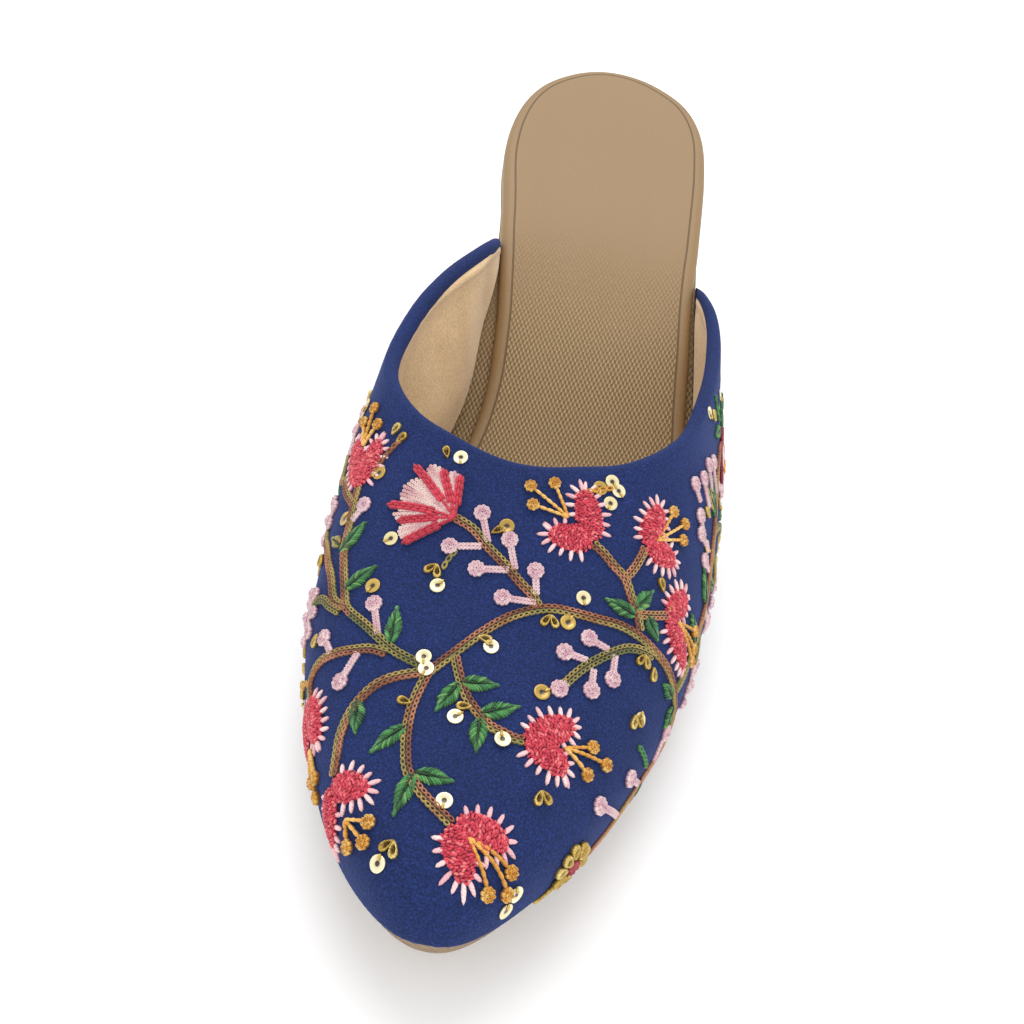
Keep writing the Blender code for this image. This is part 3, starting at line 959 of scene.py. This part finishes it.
def fan(base, ribs):
    """A shell of pale petals in close knots between satin ribs.

    A rib is (degrees, its length, length of the petal that fills the gap up to the next rib).
    """
    base = np.asarray(base, float)

    def out(degrees, length):
        """The place so far from the base, in a direction in degrees from +girth towards +back."""
        a = math.radians(degrees)
        return base + work_frame(base, base + (math.sin(a), math.cos(a)))[0] * length

    for (first, _, petal), (last, _, _) in zip(ribs, ribs[1:]):
        rays = max(round(math.radians(last - first) * petal / 0.66), 2)
        for k in range(1, rays):
            share = k / rays
            long = petal * (0.84 + 0.16 * math.sin(math.pi * share)) + random.normal(0, 0.08)
            tip = out(first + (last - first) * share, long)
            near = (0.1, 0.42, 0.2, 0.42)[k % 4]
            chain("petal_thread", (base + (tip - base) * near, base + (tip - base) * (near + 1) / 2, tip),
                  0.0, 1.0, 0.74, 0.6, 0.6, 0, 0.1, "knot")
    for degrees, length, _ in ribs:
        end = out(degrees, length)
        for offset, from_base, share in ((-0.46, 0.3, 0.95), (0.46, 0.3, 0.95), (0, 0, 1)):
            foot = base + (end - base) * from_base
            chain("heart_thread", (foot, (foot + end) / 2, base + (end - base) * share), 0.0, 0.4, 0.66, 0.75,
                  1.3, offset, 0.3, "strand")


# ---- the design, as (back, girth) ----------------------------------------------------------
VINES = (
    ("brown", ((34, -7.5), (38, -4), (41.8, -0.7), (45.2, 3), (47.2, 6.4), (48.5, 10), (48.9, 14),
               (49.3, 18), (50, 22), (50.2, 26), (50, 30.5), (50, 34), (49.5, 38), (48.5, 42), (46.5, 45))),
    ("coral", ((46.5, 45), (44, 45.5), (41, 44), (36, 40.5), (30.5, 38), (27, 36.5), (23, 34), (19, 32))),
    ("brown", ((34, -7.5), (30, -8.5), (27, -8.8), (23.6, -8.6), (20.5, -8), (17.5, -7), (15, -4.8),
               (13.6, -3), (12.2, -0.9), (11.1, 0.9))),
    ("brown", ((34, -8), (33, -12.4), (32, -15), (30, -17.4), (27.8, -19), (25, -20), (22.6, -20),
               (20, -20.2))),
    ("olive", ((35, -8.5), (35.6, -10), (37.5, -13.8), (39.6, -16.5), (42.2, -19.5), (45.1, -23.1))),
    ("brown", ((45.1, -23.1), (46.8, -24.7), (50.5, -26), (54.5, -27.5), (58.2, -28.7), (62, -29),
               (66, -29.5), (69, -29.4))),
    ("brown", ((37.1, -15), (38.1, -17.7), (38.5, -21), (39.1, -25.3), (39.3, -28.5), (38.7, -30.7),
               (37.3, -31.8), (35.5, -31))),
    ("brown", ((46.8, -24.7), (48.7, -27.7), (54, -30.4), (57.5, -32.8), (61.6, -35.6), (65.3, -39),
               (69.3, -41.5))),
    ("olive", ((46.3, -26), (48.5, -29), (50.4, -31), (51.6, -33.5), (52, -36))),
    ("brown", ((66, -29.5), (70.4, -33.4), (74.2, -36), (76.3, -39), (79.7, -40.3), (84.9, -41.7),
               (89.3, -43.4), (92.8, -46.4), (97, -50), (101, -53))),
    ("olive", ((77.5, -40), (78.9, -42), (81.9, -45.5), (84.2, -49.2), (86.3, -53.1), (88, -56.4),
               (89, -60))),
    ("brown", ((48.3, 7.8), (49.8, 6.6), (51.7, 4), (54, 1.2), (56.4, -2.2), (59, -5.3), (60.5, -8.6))),
    ("brown", ((51.2, 26.3), (53.9, 24.9), (55.5, 23.5), (57.7, 21.9), (58.9, 19.2), (60, 17.4),
               (60.8, 15.3))),
    ("coral", ((57.7, 21.9), (60.1, 23.4), (63.6, 24.9), (64.4, 25))),
    ("coral", ((53.3, 25), (54.7, 28.1), (57, 32))),
    ("olive", ((49, 30), (48.4, 27.2), (47.3, 24.4), (45.5, 21.9), (42.6, 18.7), (40.6, 16.8),
               (38.5, 15.2), (36.5, 13.9))),
    ("brown", ((37.3, -3.9), (35, -3), (32.6, -1.9), (30.4, -0.6), (28.4, 1.3), (26.5, 3.6), (25.9, 5.6),
               (25.4, 7.4), (25.5, 9))),
    ("brown", ((112, -66), (113.4, -72.9), (116, -79))),
    ("brown", ((60, 45), (66, 49), (74, 51), (82, 52), (90, 53), (98, 55), (106, 58), (110, 61))),
    ("olive", ((50, 40), (53, 42), (57, 44), (60, 45))),
    ("olive", ((86, 53), (91, 58), (95, 64), (98, 70))),
    ("brown", ((118, 72), (124, 76), (129, 79))),
    ("brown", ((116, -63), (122, -68), (128, -72))),
)
THIN_STEMS = (
    ("berry_thread", ((37.5, -32), (39.4, -34.7), (40.5, -38))),
    ("vine_olive_thread", ((52, -8.9), (53.4, -8.5), (55.2, -7.4))),
    ("leaf_thread", ((36, 31.5), (36.5, 34.8), (37, 38))),
    ("vine_olive_thread", ((66, 49), (64, 53), (62, 57))),
    ("vine_olive_thread", ((82, 52), (82.4, 58), (82, 66))),
    ("vine_rust_thread", ((75, -21.5), (73, -24), (70, -26.5))),
    ("berry_thread", ((71, 17.5), (69.8, 15), (68.6, 12.6))),
)
# The tip, the apexes of both lobes, the berries, and the root of their stamens where it is not the notch.
HEARTS = (
    ((60.8, 15.3), ((68.6, 12.2), (60.5, 7.5)), ((67.2, 3), (68.5, 7), (64.3, 3.9)), (63.6, 10.2)),
    ((64.4, 25), ((72.8, 27.8), (66.4, 32.5)), ((74.2, 31.3), (74.5, 35), (71.3, 34.5)), None),
    ((57, 32), ((63.7, 37.6), (54.3, 41)), ((62, 43.5), (60, 45), (58, 45)), None),
    ((25.5, 9), ((30.9, 16.3), (23.9, 16.6)), ((29.4, 20.5), (28.9, 24), (25.5, 20.5)), (26.8, 15.6)),
    ((11.1, 1), ((10.9, 9.4), (5.4, 4.3)), ((9, 11.2), (5.6, 8), (7.2, 11.8)), None),
    ((19, -20.6), ((15.4, -12.6), (13.2, -22)), ((11.5, -11.2), (9.6, -11.7), (10.5, -15.5)), (13.4, -16)),
    ((35.5, -31), ((27.1, -26.2), (28.2, -33.2)), ((22.7, -26.5), (21, -27.8), (24.4, -31.3)), (27.5, -29)),
    ((69, -29.4), ((76.4, -26.8), (80.6, -34.9)), ((84, -30), (79.7, -27.7), (83, -32.8)), (77.5, -31)),
)
# Head and foot.
LOLLIPOPS = (
    ((61.7, -4.3), (57.2, -2.4)), ((55.8, -8.6), (56.4, -3.4)), ((52.6, -3.4), (53.3, 1.9)),
    ((48.5, 1.7), (48.8, 7.2)), ((54, 6.3), (50.2, 7.1)), ((58.1, 1.1), (53.6, 2.9)),
    ((46, -19.2), (40.5, -17.2)), ((33.7, -22.3), (37.8, -20)), ((35.6, 13.2), (37, 14.4)),
    ((37.5, 18.6), (41, 18.5)), ((41, 22.1), (44.9, 22)), ((41.9, 13.2), (41.9, 17.2)),
    ((45.6, 16.9), (45.2, 20.6)), ((32, 32.2), (35, 38.8)), ((24.5, 25.5), (29, 36)),
    ((44.5, 42), (41, 43.5)), ((31, 43), (33, 40)), ((26, 40), (28, 37.5)), ((84, 38.5), (83, 41.5)),
    ((80.5, 41.5), (79, 44)), ((64.7, -26.5), (62.8, -28.6)), ((85.6, -38.4), (82.3, -40.4)),
    ((92.9, -42.4), (89.5, -43.6)), ((87.1, -47.2), (83.8, -42.1)), ((93.1, -49.5), (89.8, -44.6)),
    ((43, -28.5), (39.5, -26)), ((133.1, -67.5), (128.7, -72.6)), ((122.5, -69.8), (128.7, -72.6)),
    ((134, -76), (128.7, -72.6)), ((88, 42.5), (86, 47)), ((93, 45.5), (90, 50)), ((78, 42.5), (79, 48)),
    ((75.5, 45.5), (77, 50)), ((97, 49.5), (94, 53.5)), ((72, 55.5), (70.5, 50.5)),
    ((101, 61.5), (98, 55.5)), ((135.5, 74.5), (131, 80)), ((125.5, 84), (131, 80)), ((137, 83), (131, 80)),
)
# Middle, radius, and direction of the first ray in degrees.
STARS = (((52.3, -39.3), 6.0, 18), ((71.7, -43), 5.5, -10), ((62, 57), 5.5, 10), ((82, 66), 5.8, 30))
# Base and tip.
LEAVES = (
    ((50, -25.5), (52.7, -20.5)), ((57.7, -29.5), (61.2, -25)), ((38.7, -14.7), (45.1, -15)),
    ((52.9, 24.8), (53, 18.9)), ((54, 24.7), (58.8, 28)), ((54.2, 27.5), (51.9, 30.5)),
    ((33, -2), (33.5, 3.6)), ((32.7, -2.4), (27.7, -5)), ((28.3, 1.8), (30.8, 7.4)),
    ((27.5, 1.8), (21.8, 2.3)), ((29.6, -17.9), (24.5, -17.1)), ((24.5, -9), (20.9, -13.3)),
    ((17.1, -5.7), (16.6, -0.1)), ((17, -6), (12, -7.4)), ((48, 38.5), (47.3, 34.5)),
    ((47.5, 40.5), (44, 40)), ((81.5, -45.5), (82, -51)), ((71, 49.5), (74, 45.5)), ((88, 52), (93, 48)),
    ((112, 57), (112, 51)), ((110.5, 57.5), (105, 52.5)), ((36, 40), (33.5, 45)),
    ((108.7, -52), (108.7, -45.5)), ((117, -60.5), (123, -61.5)), ((116, -66), (120.5, -70.5)),
    ((107.7, -65.5), (107.5, -71.5)), ((102, -58), (96, -57)), ((102, -53.5), (97, -46.5)),
    ((119.5, 68), (125, 65.5)), ((104.5, 69), (99, 66.5)), ((112, 77), (113, 83)), ((76, 51.5), (79, 57)),
    ((120, -80), (124, -84)), ((62, 46), (63, 41)),
)
OLIVE_LEAVES = (((59.5, -30.5), (62.5, -34)), ((88, 50), (88, 43.5)))
IVORY_SEQUINS = (
    (36.4, -8.7), (34.4, -7.9), (70.6, -9.8), (57.2, -19.1), (49.1, -9.2), (51.8, 15), (39.9, 1.4),
    (27.1, -1.9), (24.6, 5.8), (13.8, -0.7), (38.6, -39.4), (55.4, -51.2), (89.2, -53.8), (114.4, -47.7),
    (116.1, -51.4), (71, 18.6), (72, 17.2), (68.3, 17.3), (39, 30), (8.4, 14.6), (6.6, 14.4), (78.4, -64.1),
    (6.8, -8.8), (70, 64), (91, 74), (105, 47), (119, 59),
)
GOLD_SEQUINS = (
    (49.3, -20.3), (60.2, 0.2), (69.8, -24.8), (64.4, -31.2), (87.5, -37.2), (88.6, -35.6), (34.2, 10.6),
    (70.1, 15.1), (47, 13), (79, 47), (98, 61),
)
GOLD_DROPS = (
    (71.4, -12.4), (59.3, -1.2), (29, -0.9), (28.8, -10.1), (46.6, 30.8), (60.8, 29.8), (59, 33),
    (50, -48.6), (52.8, -49), (58, -51.3), (75, -21.5), (77, -23), (96.2, -41.9), (97.3, -44.3),
    (99.8, -61.9), (108.7, -76.4), (44, -31.5), (41, 0.2), (140.4, -71.3), (125.8, -63.4), (115, -53),
    (62, 65.5), (88, 71), (84, 45.5), (107, 50), (139, 78),
)
GOLD_PAIRS = (
    (51.6, -10.4), (46.2, 10), (47, 27.9), (18.5, 13.6), (38, 29), (41, -39.2), (61.4, -38.6), (68, -50.2),
    (7.9, -7.1), (68, 61.5), (36.4, -41.5),
)
FAN_RIBS = ((94, 8, 8.8), (115, 9.6, 11.3), (135, 13.2, 11.6), (167.6, 12.6, 10.9), (183, 9.8, 9.9),
            (208.3, 9.6, 0))
DAISIES = (
    ((89.5, -63.8), 5.6, 12, ((80.3, -62), (76.8, -61))),
    ((18.0, 27.6), 4.2, 10, ((14, 26.4), (12, 25))),
    ((98.0, 74.0), 5.6, 12, ()),
)
BLOSSOMS = ((109.4, -58.9), (112.0, 69.0))


def embroider():
    """Sews the whole design."""
    for look, points in VINES:
        vine_places.append(stitch_line(points, 2.0))
        vine(look, points)
    for piece, points in THIN_STEMS:
        chain(piece, points, 0.3, 0.8, 1.0, 0.65)
    for tip, lobes, berries, root in HEARTS:
        heart(tip, lobes, berries, root)
    for head, base in LOLLIPOPS:
        lollipop(head, base)
    for centre, radius, first in STARS:
        star(centre, radius, first)
    for base, tip in LEAVES:
        leaf(base, tip)
    for base, tip in OLIVE_LEAVES:
        leaf(base, tip, 2.4, "vine_olive_thread")
    for centre in IVORY_SEQUINS:
        sequin(centre)
    for centre in GOLD_SEQUINS:
        sequin(centre, 2.7, "gold_sequins")
    for place_at in GOLD_DROPS:
        drops(place_at)
    for place_at in GOLD_PAIRS:
        drops(place_at, (-30, 30))
    fan((60.4, -8.7), FAN_RIBS)
    for centre, radius, petals, tail in DAISIES:
        daisy(centre, radius, petals, tail)
    for centre in BLOSSOMS:
        blossom(centre)


# ---- materials -----------------------------------------------------------------------------
def srgb(code):
    """Linear colour of an sRGB hex value."""
    parts = [int(code[i:i + 2], 16) / 255 for i in (1, 3, 5)]
    return (*[c / 12.92 if c <= 0.04045 else ((c + 0.055) / 1.055) ** 2.4 for c in parts], 1.0)


def new_material(name, **constants):
    """An empty material with a Principled shader, and its node tree."""
    finish = bpy.data.materials.new(name)
    finish.use_nodes = True
    shader = finish.node_tree.nodes["Principled BSDF"]
    for key, value in constants.items():
        shader.inputs[key.replace("_", " ")].default_value = value
    return finish, finish.node_tree, shader


def join(tree, node, **sources):
    """Links outputs to a node's sockets, by name or as i0, i1 and so on; a node means its first output."""
    for key, source in sources.items():
        socket = int(key[1:]) if key[1:].isdigit() else key.replace("_", " ")
        output = source.outputs[0] if isinstance(source, bpy.types.Node) else source
        tree.links.new(output, node.inputs[socket])


def add(tree, kind, settings=None, **sources):
    """Adds a node with its settings, which are properties or values of sockets, and its links."""
    made = tree.nodes.new("ShaderNode" + kind)
    for key, value in (settings or {}).items():
        if isinstance(key, str) and hasattr(made, key):
            setattr(made, key, value)
        else:
            made.inputs[key].default_value = value
    join(tree, made, **sources)
    return made


def ramp(tree, factor, *stops):
    """Colour ramp through (position, hex) stops."""
    made = add(tree, "ValToRGB", i0=factor)
    elements = made.color_ramp.elements
    while len(elements) < len(stops):
        elements.new(0.5)
    for element, (position, code) in zip(elements, stops):
        element.position = position
        element.color = srgb(code)
    return made


def fabric_finish():
    """Woven polyester crepe, dyed blue: matt, with a pebbly grain of a third of a millimetre and paler
    raised threads."""
    finish, tree, shader = new_material("blue_crepe_fabric", Roughness=0.86, Sheen_Weight=0.17,
                                        Sheen_Roughness=0.4, Specular_IOR_Level=0.25)
    shader.inputs["Sheen Tint"].default_value = srgb("#6C8AE6")
    place_in = add(tree, "TexCoord").outputs["Object"]
    grain = add(tree, "TexNoise", {"Scale": 1 / 0.00033, "Detail": 1.0, "Roughness": 0.5}, Vector=place_in)
    wide = add(tree, "TexNoise", {"Scale": 1 / 0.02, "Detail": 2.0}, Vector=place_in)
    level = add(tree, "Math", {"operation": "MULTIPLY_ADD", 1: 0.15}, i0=wide, i2=grain)
    colour = ramp(tree, level, (0.3, "#101C42"), (0.58, "#182856"), (0.86, "#243879"))
    bump = add(tree, "Bump", {"Strength": 0.6, "Distance": 0.0002}, Height=grain)
    join(tree, shader, Base_Color=colour, Normal=bump)
    return finish


def dye_over_painted_shade(tree, dyed, hollow_shade):
    """The colour of a stitch, which falls to a dark one in the gaps between threads: painted shade."""
    gap_shade = add(tree, "Attribute", {"attribute_name": "hollow_shade"}).outputs["Fac"]
    full = add(tree, "Mix", {"data_type": "RGBA"}, Factor=gap_shade, i6=dyed)
    full.inputs[7].default_value = srgb(hollow_shade)
    return full.outputs[2]


def thread_finish(name, stops, hollow_shade, roughness=0.55, metallic=0.0, sheen=0.15):
    """Twisted embroidery thread: the plies slant every 0.4 mm, the dye drifts from stitch to stitch, and
    painted shade darkens the gaps between threads."""
    finish, tree, shader = new_material(name, Roughness=roughness, Metallic=metallic, Sheen_Weight=sheen)
    shade = add(tree, "Attribute", {"attribute_name": "shade"}).outputs["Fac"]
    plan = add(tree, "UVMap", {"uv_map": "thread"})
    ply = add(tree, "TexWave", {"wave_type": "BANDS", "bands_direction": "DIAGONAL", "Scale": 0.5 / 0.4,
                                "Distortion": 0.6, "Detail": 1.0}, Vector=plan).outputs["Fac"]
    slant = add(tree, "Math", {"operation": "MULTIPLY", 1: 0.35}, i0=ply)
    plied = add(tree, "Mix", {"data_type": "RGBA", "blend_type": "MULTIPLY"}, Factor=slant,
                i6=ramp(tree, shade, *stops))
    plied.inputs[7].default_value = (0.45, 0.42, 0.42, 1)
    bump = add(tree, "Bump", {"Strength": 0.5, "Distance": 0.0001}, Height=ply)
    join(tree, shader, Base_Color=dye_over_painted_shade(tree, plied.outputs[2], hollow_shade), Normal=bump)
    return finish


def sequin_finish(name, stops):
    """Punched plastic film with a metallised back: smooth and glossy, pearly rather than mirror-bright."""
    finish, tree, shader = new_material(name, Roughness=0.22, Metallic=0.35, Coat_Weight=0.6,
                                        Coat_Roughness=0.1)
    shade = add(tree, "Attribute", {"attribute_name": "shade"}).outputs["Fac"]
    # painted shade: the hole and the foot of the rim take the dark colour #3A2A14
    join(tree, shader, Base_Color=dye_over_painted_shade(tree, ramp(tree, shade, *stops), "#3A2A14"))
    return finish


def lining_finish():
    """Synthetic suede lining: even beige with a short nap and a fine 0.4 mm grain."""
    finish, tree, shader = new_material("beige_suede_lining", Roughness=0.9, Sheen_Weight=0.3)
    place_in = add(tree, "TexCoord").outputs["Object"]
    nap = add(tree, "TexNoise", {"Scale": 1 / 0.0004, "Detail": 2.0}, Vector=place_in)
    wide = add(tree, "TexNoise", {"Scale": 1 / 0.012, "Detail": 3.0}, Vector=place_in)
    level = add(tree, "Math", {"operation": "MULTIPLY_ADD", 1: 0.6}, i0=wide, i2=nap)
    level = add(tree, "Math", {"operation": "MULTIPLY", 1: 0.62}, i0=level)
    bump = add(tree, "Bump", {"Strength": 0.35, "Distance": 0.00012}, Height=nap)
    join(tree, shader, Base_Color=ramp(tree, level, (0.34, "#CAAA7C"), (0.66, "#F4D3A6")), Normal=bump)
    return finish


def footbed_finish(name, line_at):
    """Coated synthetic leather, satin; painted shade makes it a little darker in the hollows.

    It is pressed with a line at a distance from the edge. Inside the line it is pressed with staggered dots
    about 1 mm apart under the foot, which fade out to a fine plain grain towards the heel.
    """
    finish, tree, shader = new_material(name, Specular_IOR_Level=0.4)
    plan = add(tree, "UVMap", {"uv_map": "UVMap"})
    # The dots are the low places of two sine waves, one along each direction of the plan.
    scaled = add(tree, "Mapping", {"Scale": (1 / 1.04, 1 / 1.76, 1)}, Vector=plan)
    split = add(tree, "SeparateXYZ", Vector=scaled)
    waves = []
    for axis in ("X", "Y"):
        angle = add(tree, "Math", {"operation": "MULTIPLY", 1: 2 * math.pi}, i0=split.outputs[axis])
        waves.append(add(tree, "Math", {"operation": "SINE"}, i0=angle))
    product = add(tree, "Math", {"operation": "MULTIPLY"}, i0=waves[0], i1=waves[1])
    dots = add(tree, "MapRange", {"From Min": -0.45, "From Max": 0.8, "To Min": 1.0, "To Max": 0.0,
                                  "interpolation_type": "SMOOTHSTEP"}, Value=product)
    away = add(tree, "Math", {"operation": "MULTIPLY_ADD", 2: 1.0, 1: -1.0}, i0=dots)
    # They start inside the line, and along a wavering front between the heel and the tread.
    edge = add(tree, "Attribute", {"attribute_name": "edge"}).outputs["Fac"]
    within = add(tree, "MapRange", {"From Min": line_at + 0.1, "From Max": line_at + 0.5}, Value=edge)
    along = add(tree, "SeparateXYZ", Vector=plan).outputs["Y"]
    wobble = add(tree, "TexNoise", {"Scale": 0.05, "Detail": 1.0}, Vector=plan)
    along = add(tree, "Math", {"operation": "MULTIPLY_ADD", 1: 20.0}, i0=wobble, i2=along)
    front = add(tree, "MapRange", {"From Min": 76.0, "From Max": 122.0, "interpolation_type": "SMOOTHSTEP"},
                Value=along)
    front = add(tree, "Math", {"operation": "MULTIPLY"}, i0=front, i1=within)
    pressed = add(tree, "Math", {"operation": "MULTIPLY"}, i0=away, i1=front)
    off_line = add(tree, "Math", {"operation": "SUBTRACT", 1: line_at}, i0=edge)
    off_line = add(tree, "Math", {"operation": "ABSOLUTE"}, i0=off_line)
    line = add(tree, "MapRange", {"From Min": 0.08, "From Max": 0.26, "To Min": 1.0, "To Max": 0.0,
                                  "interpolation_type": "SMOOTHSTEP"}, Value=off_line)
    hollow_shade = add(tree, "Math", {"operation": "MAXIMUM"}, i0=pressed, i1=line)
    grain = add(tree, "TexVoronoi", {"Scale": 1 / 0.45}, Vector=plan)
    height = add(tree, "Math", {"operation": "MULTIPLY_ADD", 1: -0.12}, i0=grain, i2=hollow_shade)
    # Colour: a soft drift, with painted shade darker in the hollows and the pressed line, and a painted
    # highlight paler on the ridges between them.
    soft = add(tree, "TexNoise", {"Scale": 1.8, "Detail": 3.0, "Roughness": 0.6}, Vector=plan)
    level = add(tree, "Math", {"operation": "MULTIPLY_ADD", 1: 0.35, 2: 0.32}, i0=soft)
    # painted shade: the hollows and the pressed line are darkened
    level = add(tree, "Math", {"operation": "MULTIPLY_ADD", 1: -0.5}, i0=hollow_shade, i2=level)
    # painted highlight: the pressed area is lifted, so the ridges between its hollows are paler
    level = add(tree, "Math", {"operation": "MULTIPLY_ADD", 1: 0.2}, i0=front, i2=level)
    colour = ramp(tree, level, (0.05, "#6E5637"), (0.3, "#8A704A"), (0.52, "#907450"), (0.8, "#BDA47A"))
    rough = add(tree, "MapRange", {"To Min": 0.42, "To Max": 0.6}, Value=soft)
    bump = add(tree, "Bump", {"Strength": 0.9, "Distance": 0.0003, "invert": True}, Height=height)
    join(tree, shader, Base_Color=colour, Roughness=rough, Normal=bump)
    return finish


def grained_finish(name, dark, light, grain_size, roughness, depth):
    """A moulded or coated surface: pebble grain of a real size and depth, a fine speckle, and a slow change
    of colour and gloss."""
    finish, tree, shader = new_material(name, Specular_IOR_Level=0.4)
    place_in = add(tree, "TexCoord").outputs["Object"]
    grain = add(tree, "TexVoronoi", {"Scale": 1 / (grain_size * MM), "Randomness": 0.9}, Vector=place_in)
    fine = add(tree, "TexNoise", {"Scale": 1 / 0.0006, "Detail": 3.0}, Vector=place_in)
    slow = add(tree, "TexNoise", {"Scale": 1 / 0.025, "Detail": 3.0}, Vector=place_in)
    level = add(tree, "Math", {"operation": "MULTIPLY_ADD", 1: 0.3}, i0=slow, i2=fine)
    rough = add(tree, "MapRange", {"To Min": roughness - 0.04, "To Max": roughness + 0.04}, Value=slow)
    height = add(tree, "Math", {"operation": "ADD"}, i0=grain, i1=fine)
    bump = add(tree, "Bump", {"Strength": 0.4, "Distance": depth * MM}, Height=height)
    join(tree, shader, Base_Color=ramp(tree, level, (0.4, dark), (0.9, light)), Roughness=rough, Normal=bump)
    return finish


# ---- the shoe ------------------------------------------------------------------------------
NO_LINE = -5.0            # a pressed line at this distance from the edge is off the piece

make_upper(fabric_finish())
make_lining(lining_finish())
make_footbed(footbed_finish("tan_pressed_footbed", FOOTBED_LINE))
make_insole_cover(footbed_finish("tan_insole_cover", NO_LINE))
make_sole(grained_finish("tan_rubber_sheet", "#7C6850", "#98826A", 0.5, 0.62, 0.03))
heel_leather = grained_finish("tan_synthetic_leather_wrap", "#866A46", "#A3865E", 0.9, 0.48, 0.16)
lift_plastic = grained_finish("moulded_plastic_lift", "#72552F", "#8C6D43", 0.5, 0.5, 0.03)
make_heel_wrap(heel_leather)
for node, finish in (("heel", heel_leather), ("heel_tip", lift_plastic)):
    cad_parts[node].data.materials.clear()
    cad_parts[node].data.materials.append(finish)

embroider()
# Each thread: its dye stops, and the dark colour its gaps take as painted shade; the metal thread below is
# given the same way.
THREADS = {
    # The vines' dark core is painted shade.
    "vine_shade_core": (((0, "#2A1A14"), (1, "#3A261A")), "#140C08"),
    "vine_rust_thread": (((0, "#7A4428"), (0.35, "#A8643E"), (0.7, "#CF8A64"), (1, "#BF9A54")), "#2A1612"),
    "vine_olive_thread": (((0, "#5E6A30"), (0.35, "#948C46"), (0.7, "#C2A85A"), (1, "#A8743E")), "#241C10"),
    "heart_thread": (((0, "#B41E38"), (0.4, "#D4304A"), (0.75, "#E44A5C"), (1, "#F08484")), "#8A1832"),
    "spike_thread": (((0, "#E2A0AA"), (0.5, "#F2C0C4"), (1, "#FBDEDA")), "#A05560"),
    "petal_thread": (((0, "#D9A6AC"), (0.35, "#F0C8C4"), (1, "#FBE6DC")), "#A8707C"),
    "mauve_thread": (((0, "#C690A6"), (0.4, "#E6BAC4"), (1, "#F8DCDC")), "#9A6680"),
    "leaf_thread": (((0, "#1E4E26"), (0.45, "#2E7438"), (0.8, "#459048"), (1, "#74A85A")), "#0E2A14"),
    "leaf_vein_thread": (((0, "#143A1C"), (1, "#1C4A24")), "#0C2412"),
    "berry_thread": (((0, "#B8781E"), (0.5, "#E4A236"), (1, "#F8CC74")), "#74480E"),
    "maroon_thread": (((0, "#7A1730"), (0.5, "#A8283E"), (1, "#C84A58")), "#3C0C18"),
}
for piece_name, (stops, hollow_shade) in THREADS.items():
    make_embroidery(piece_name, thread_finish(piece_name, stops, hollow_shade))
make_embroidery("metal_thread", thread_finish(
    "metal_thread", ((0, "#A9863A"), (0.5, "#CFAE58"), (1, "#E6CE82")), "#54401A", 0.35, 0.55, 0.0))
make_embroidery("ivory_sequins", sequin_finish("ivory_sequins", ((0, "#E0CF96"), (1, "#F6ECC6"))))
make_embroidery("gold_sequins", sequin_finish("gold_sequins", ((0, "#A8842E"), (1, "#CBAA4E"))))


# ---- floor, light and camera ---------------------------------------------------------------
deselect()
bpy.ops.mesh.primitive_plane_add(size=6)
floor = bpy.context.object
floor.name = "floor"
glowing_paper, tree, shader = new_material("faintly_glowing_white_paper", Roughness=0.9)
shader.inputs["Base Color"].default_value = (0.97, 0.97, 0.97, 1)
# The floor glows faintly: painted light that lifts the shadows cast on it.
shader.inputs["Emission Color"].default_value = (1, 1, 1, 1)
shader.inputs["Emission Strength"].default_value = 0.06
floor.data.materials.append(glowing_paper)


def softbox(name, place_at, aim, size, power):
    """A round soft light that points at a place."""
    bpy.ops.object.light_add(type="AREA", location=place_at)
    lamp = bpy.context.object
    lamp.name = name
    lamp.data.shape = "DISK"
    lamp.data.size = size
    lamp.data.energy = power
    lamp.rotation_euler = Vector(np.subtract(aim, place_at)).to_track_quat("-Z", "Y").to_euler()


softbox("top_light", (-0.1, 0.45, 1.1), (0, 0, 0), 1.0, 6.5)
softbox("front_fill", (0.25, -1.1, 0.45), (0, 0, 0.02), 0.9, 3)
world = bpy.data.worlds.new("studio")
world.use_nodes = True
sky = world.node_tree.nodes["Background"]
sky.inputs["Color"].default_value = (1, 1, 1, 1)
sky.inputs["Strength"].default_value = 0.96
bpy.context.scene.world = world
bpy.context.scene.view_settings.view_transform = "Standard"

bpy.ops.object.camera_add(location=(0.00014, -0.2137, 0.1638),
                          rotation=[math.radians(a) for a in (51.78, -6.61, 6.76)])
camera = bpy.context.object
camera.data.lens = 39.63
camera.data.clip_start = 0.01
bpy.context.scene.camera = camera
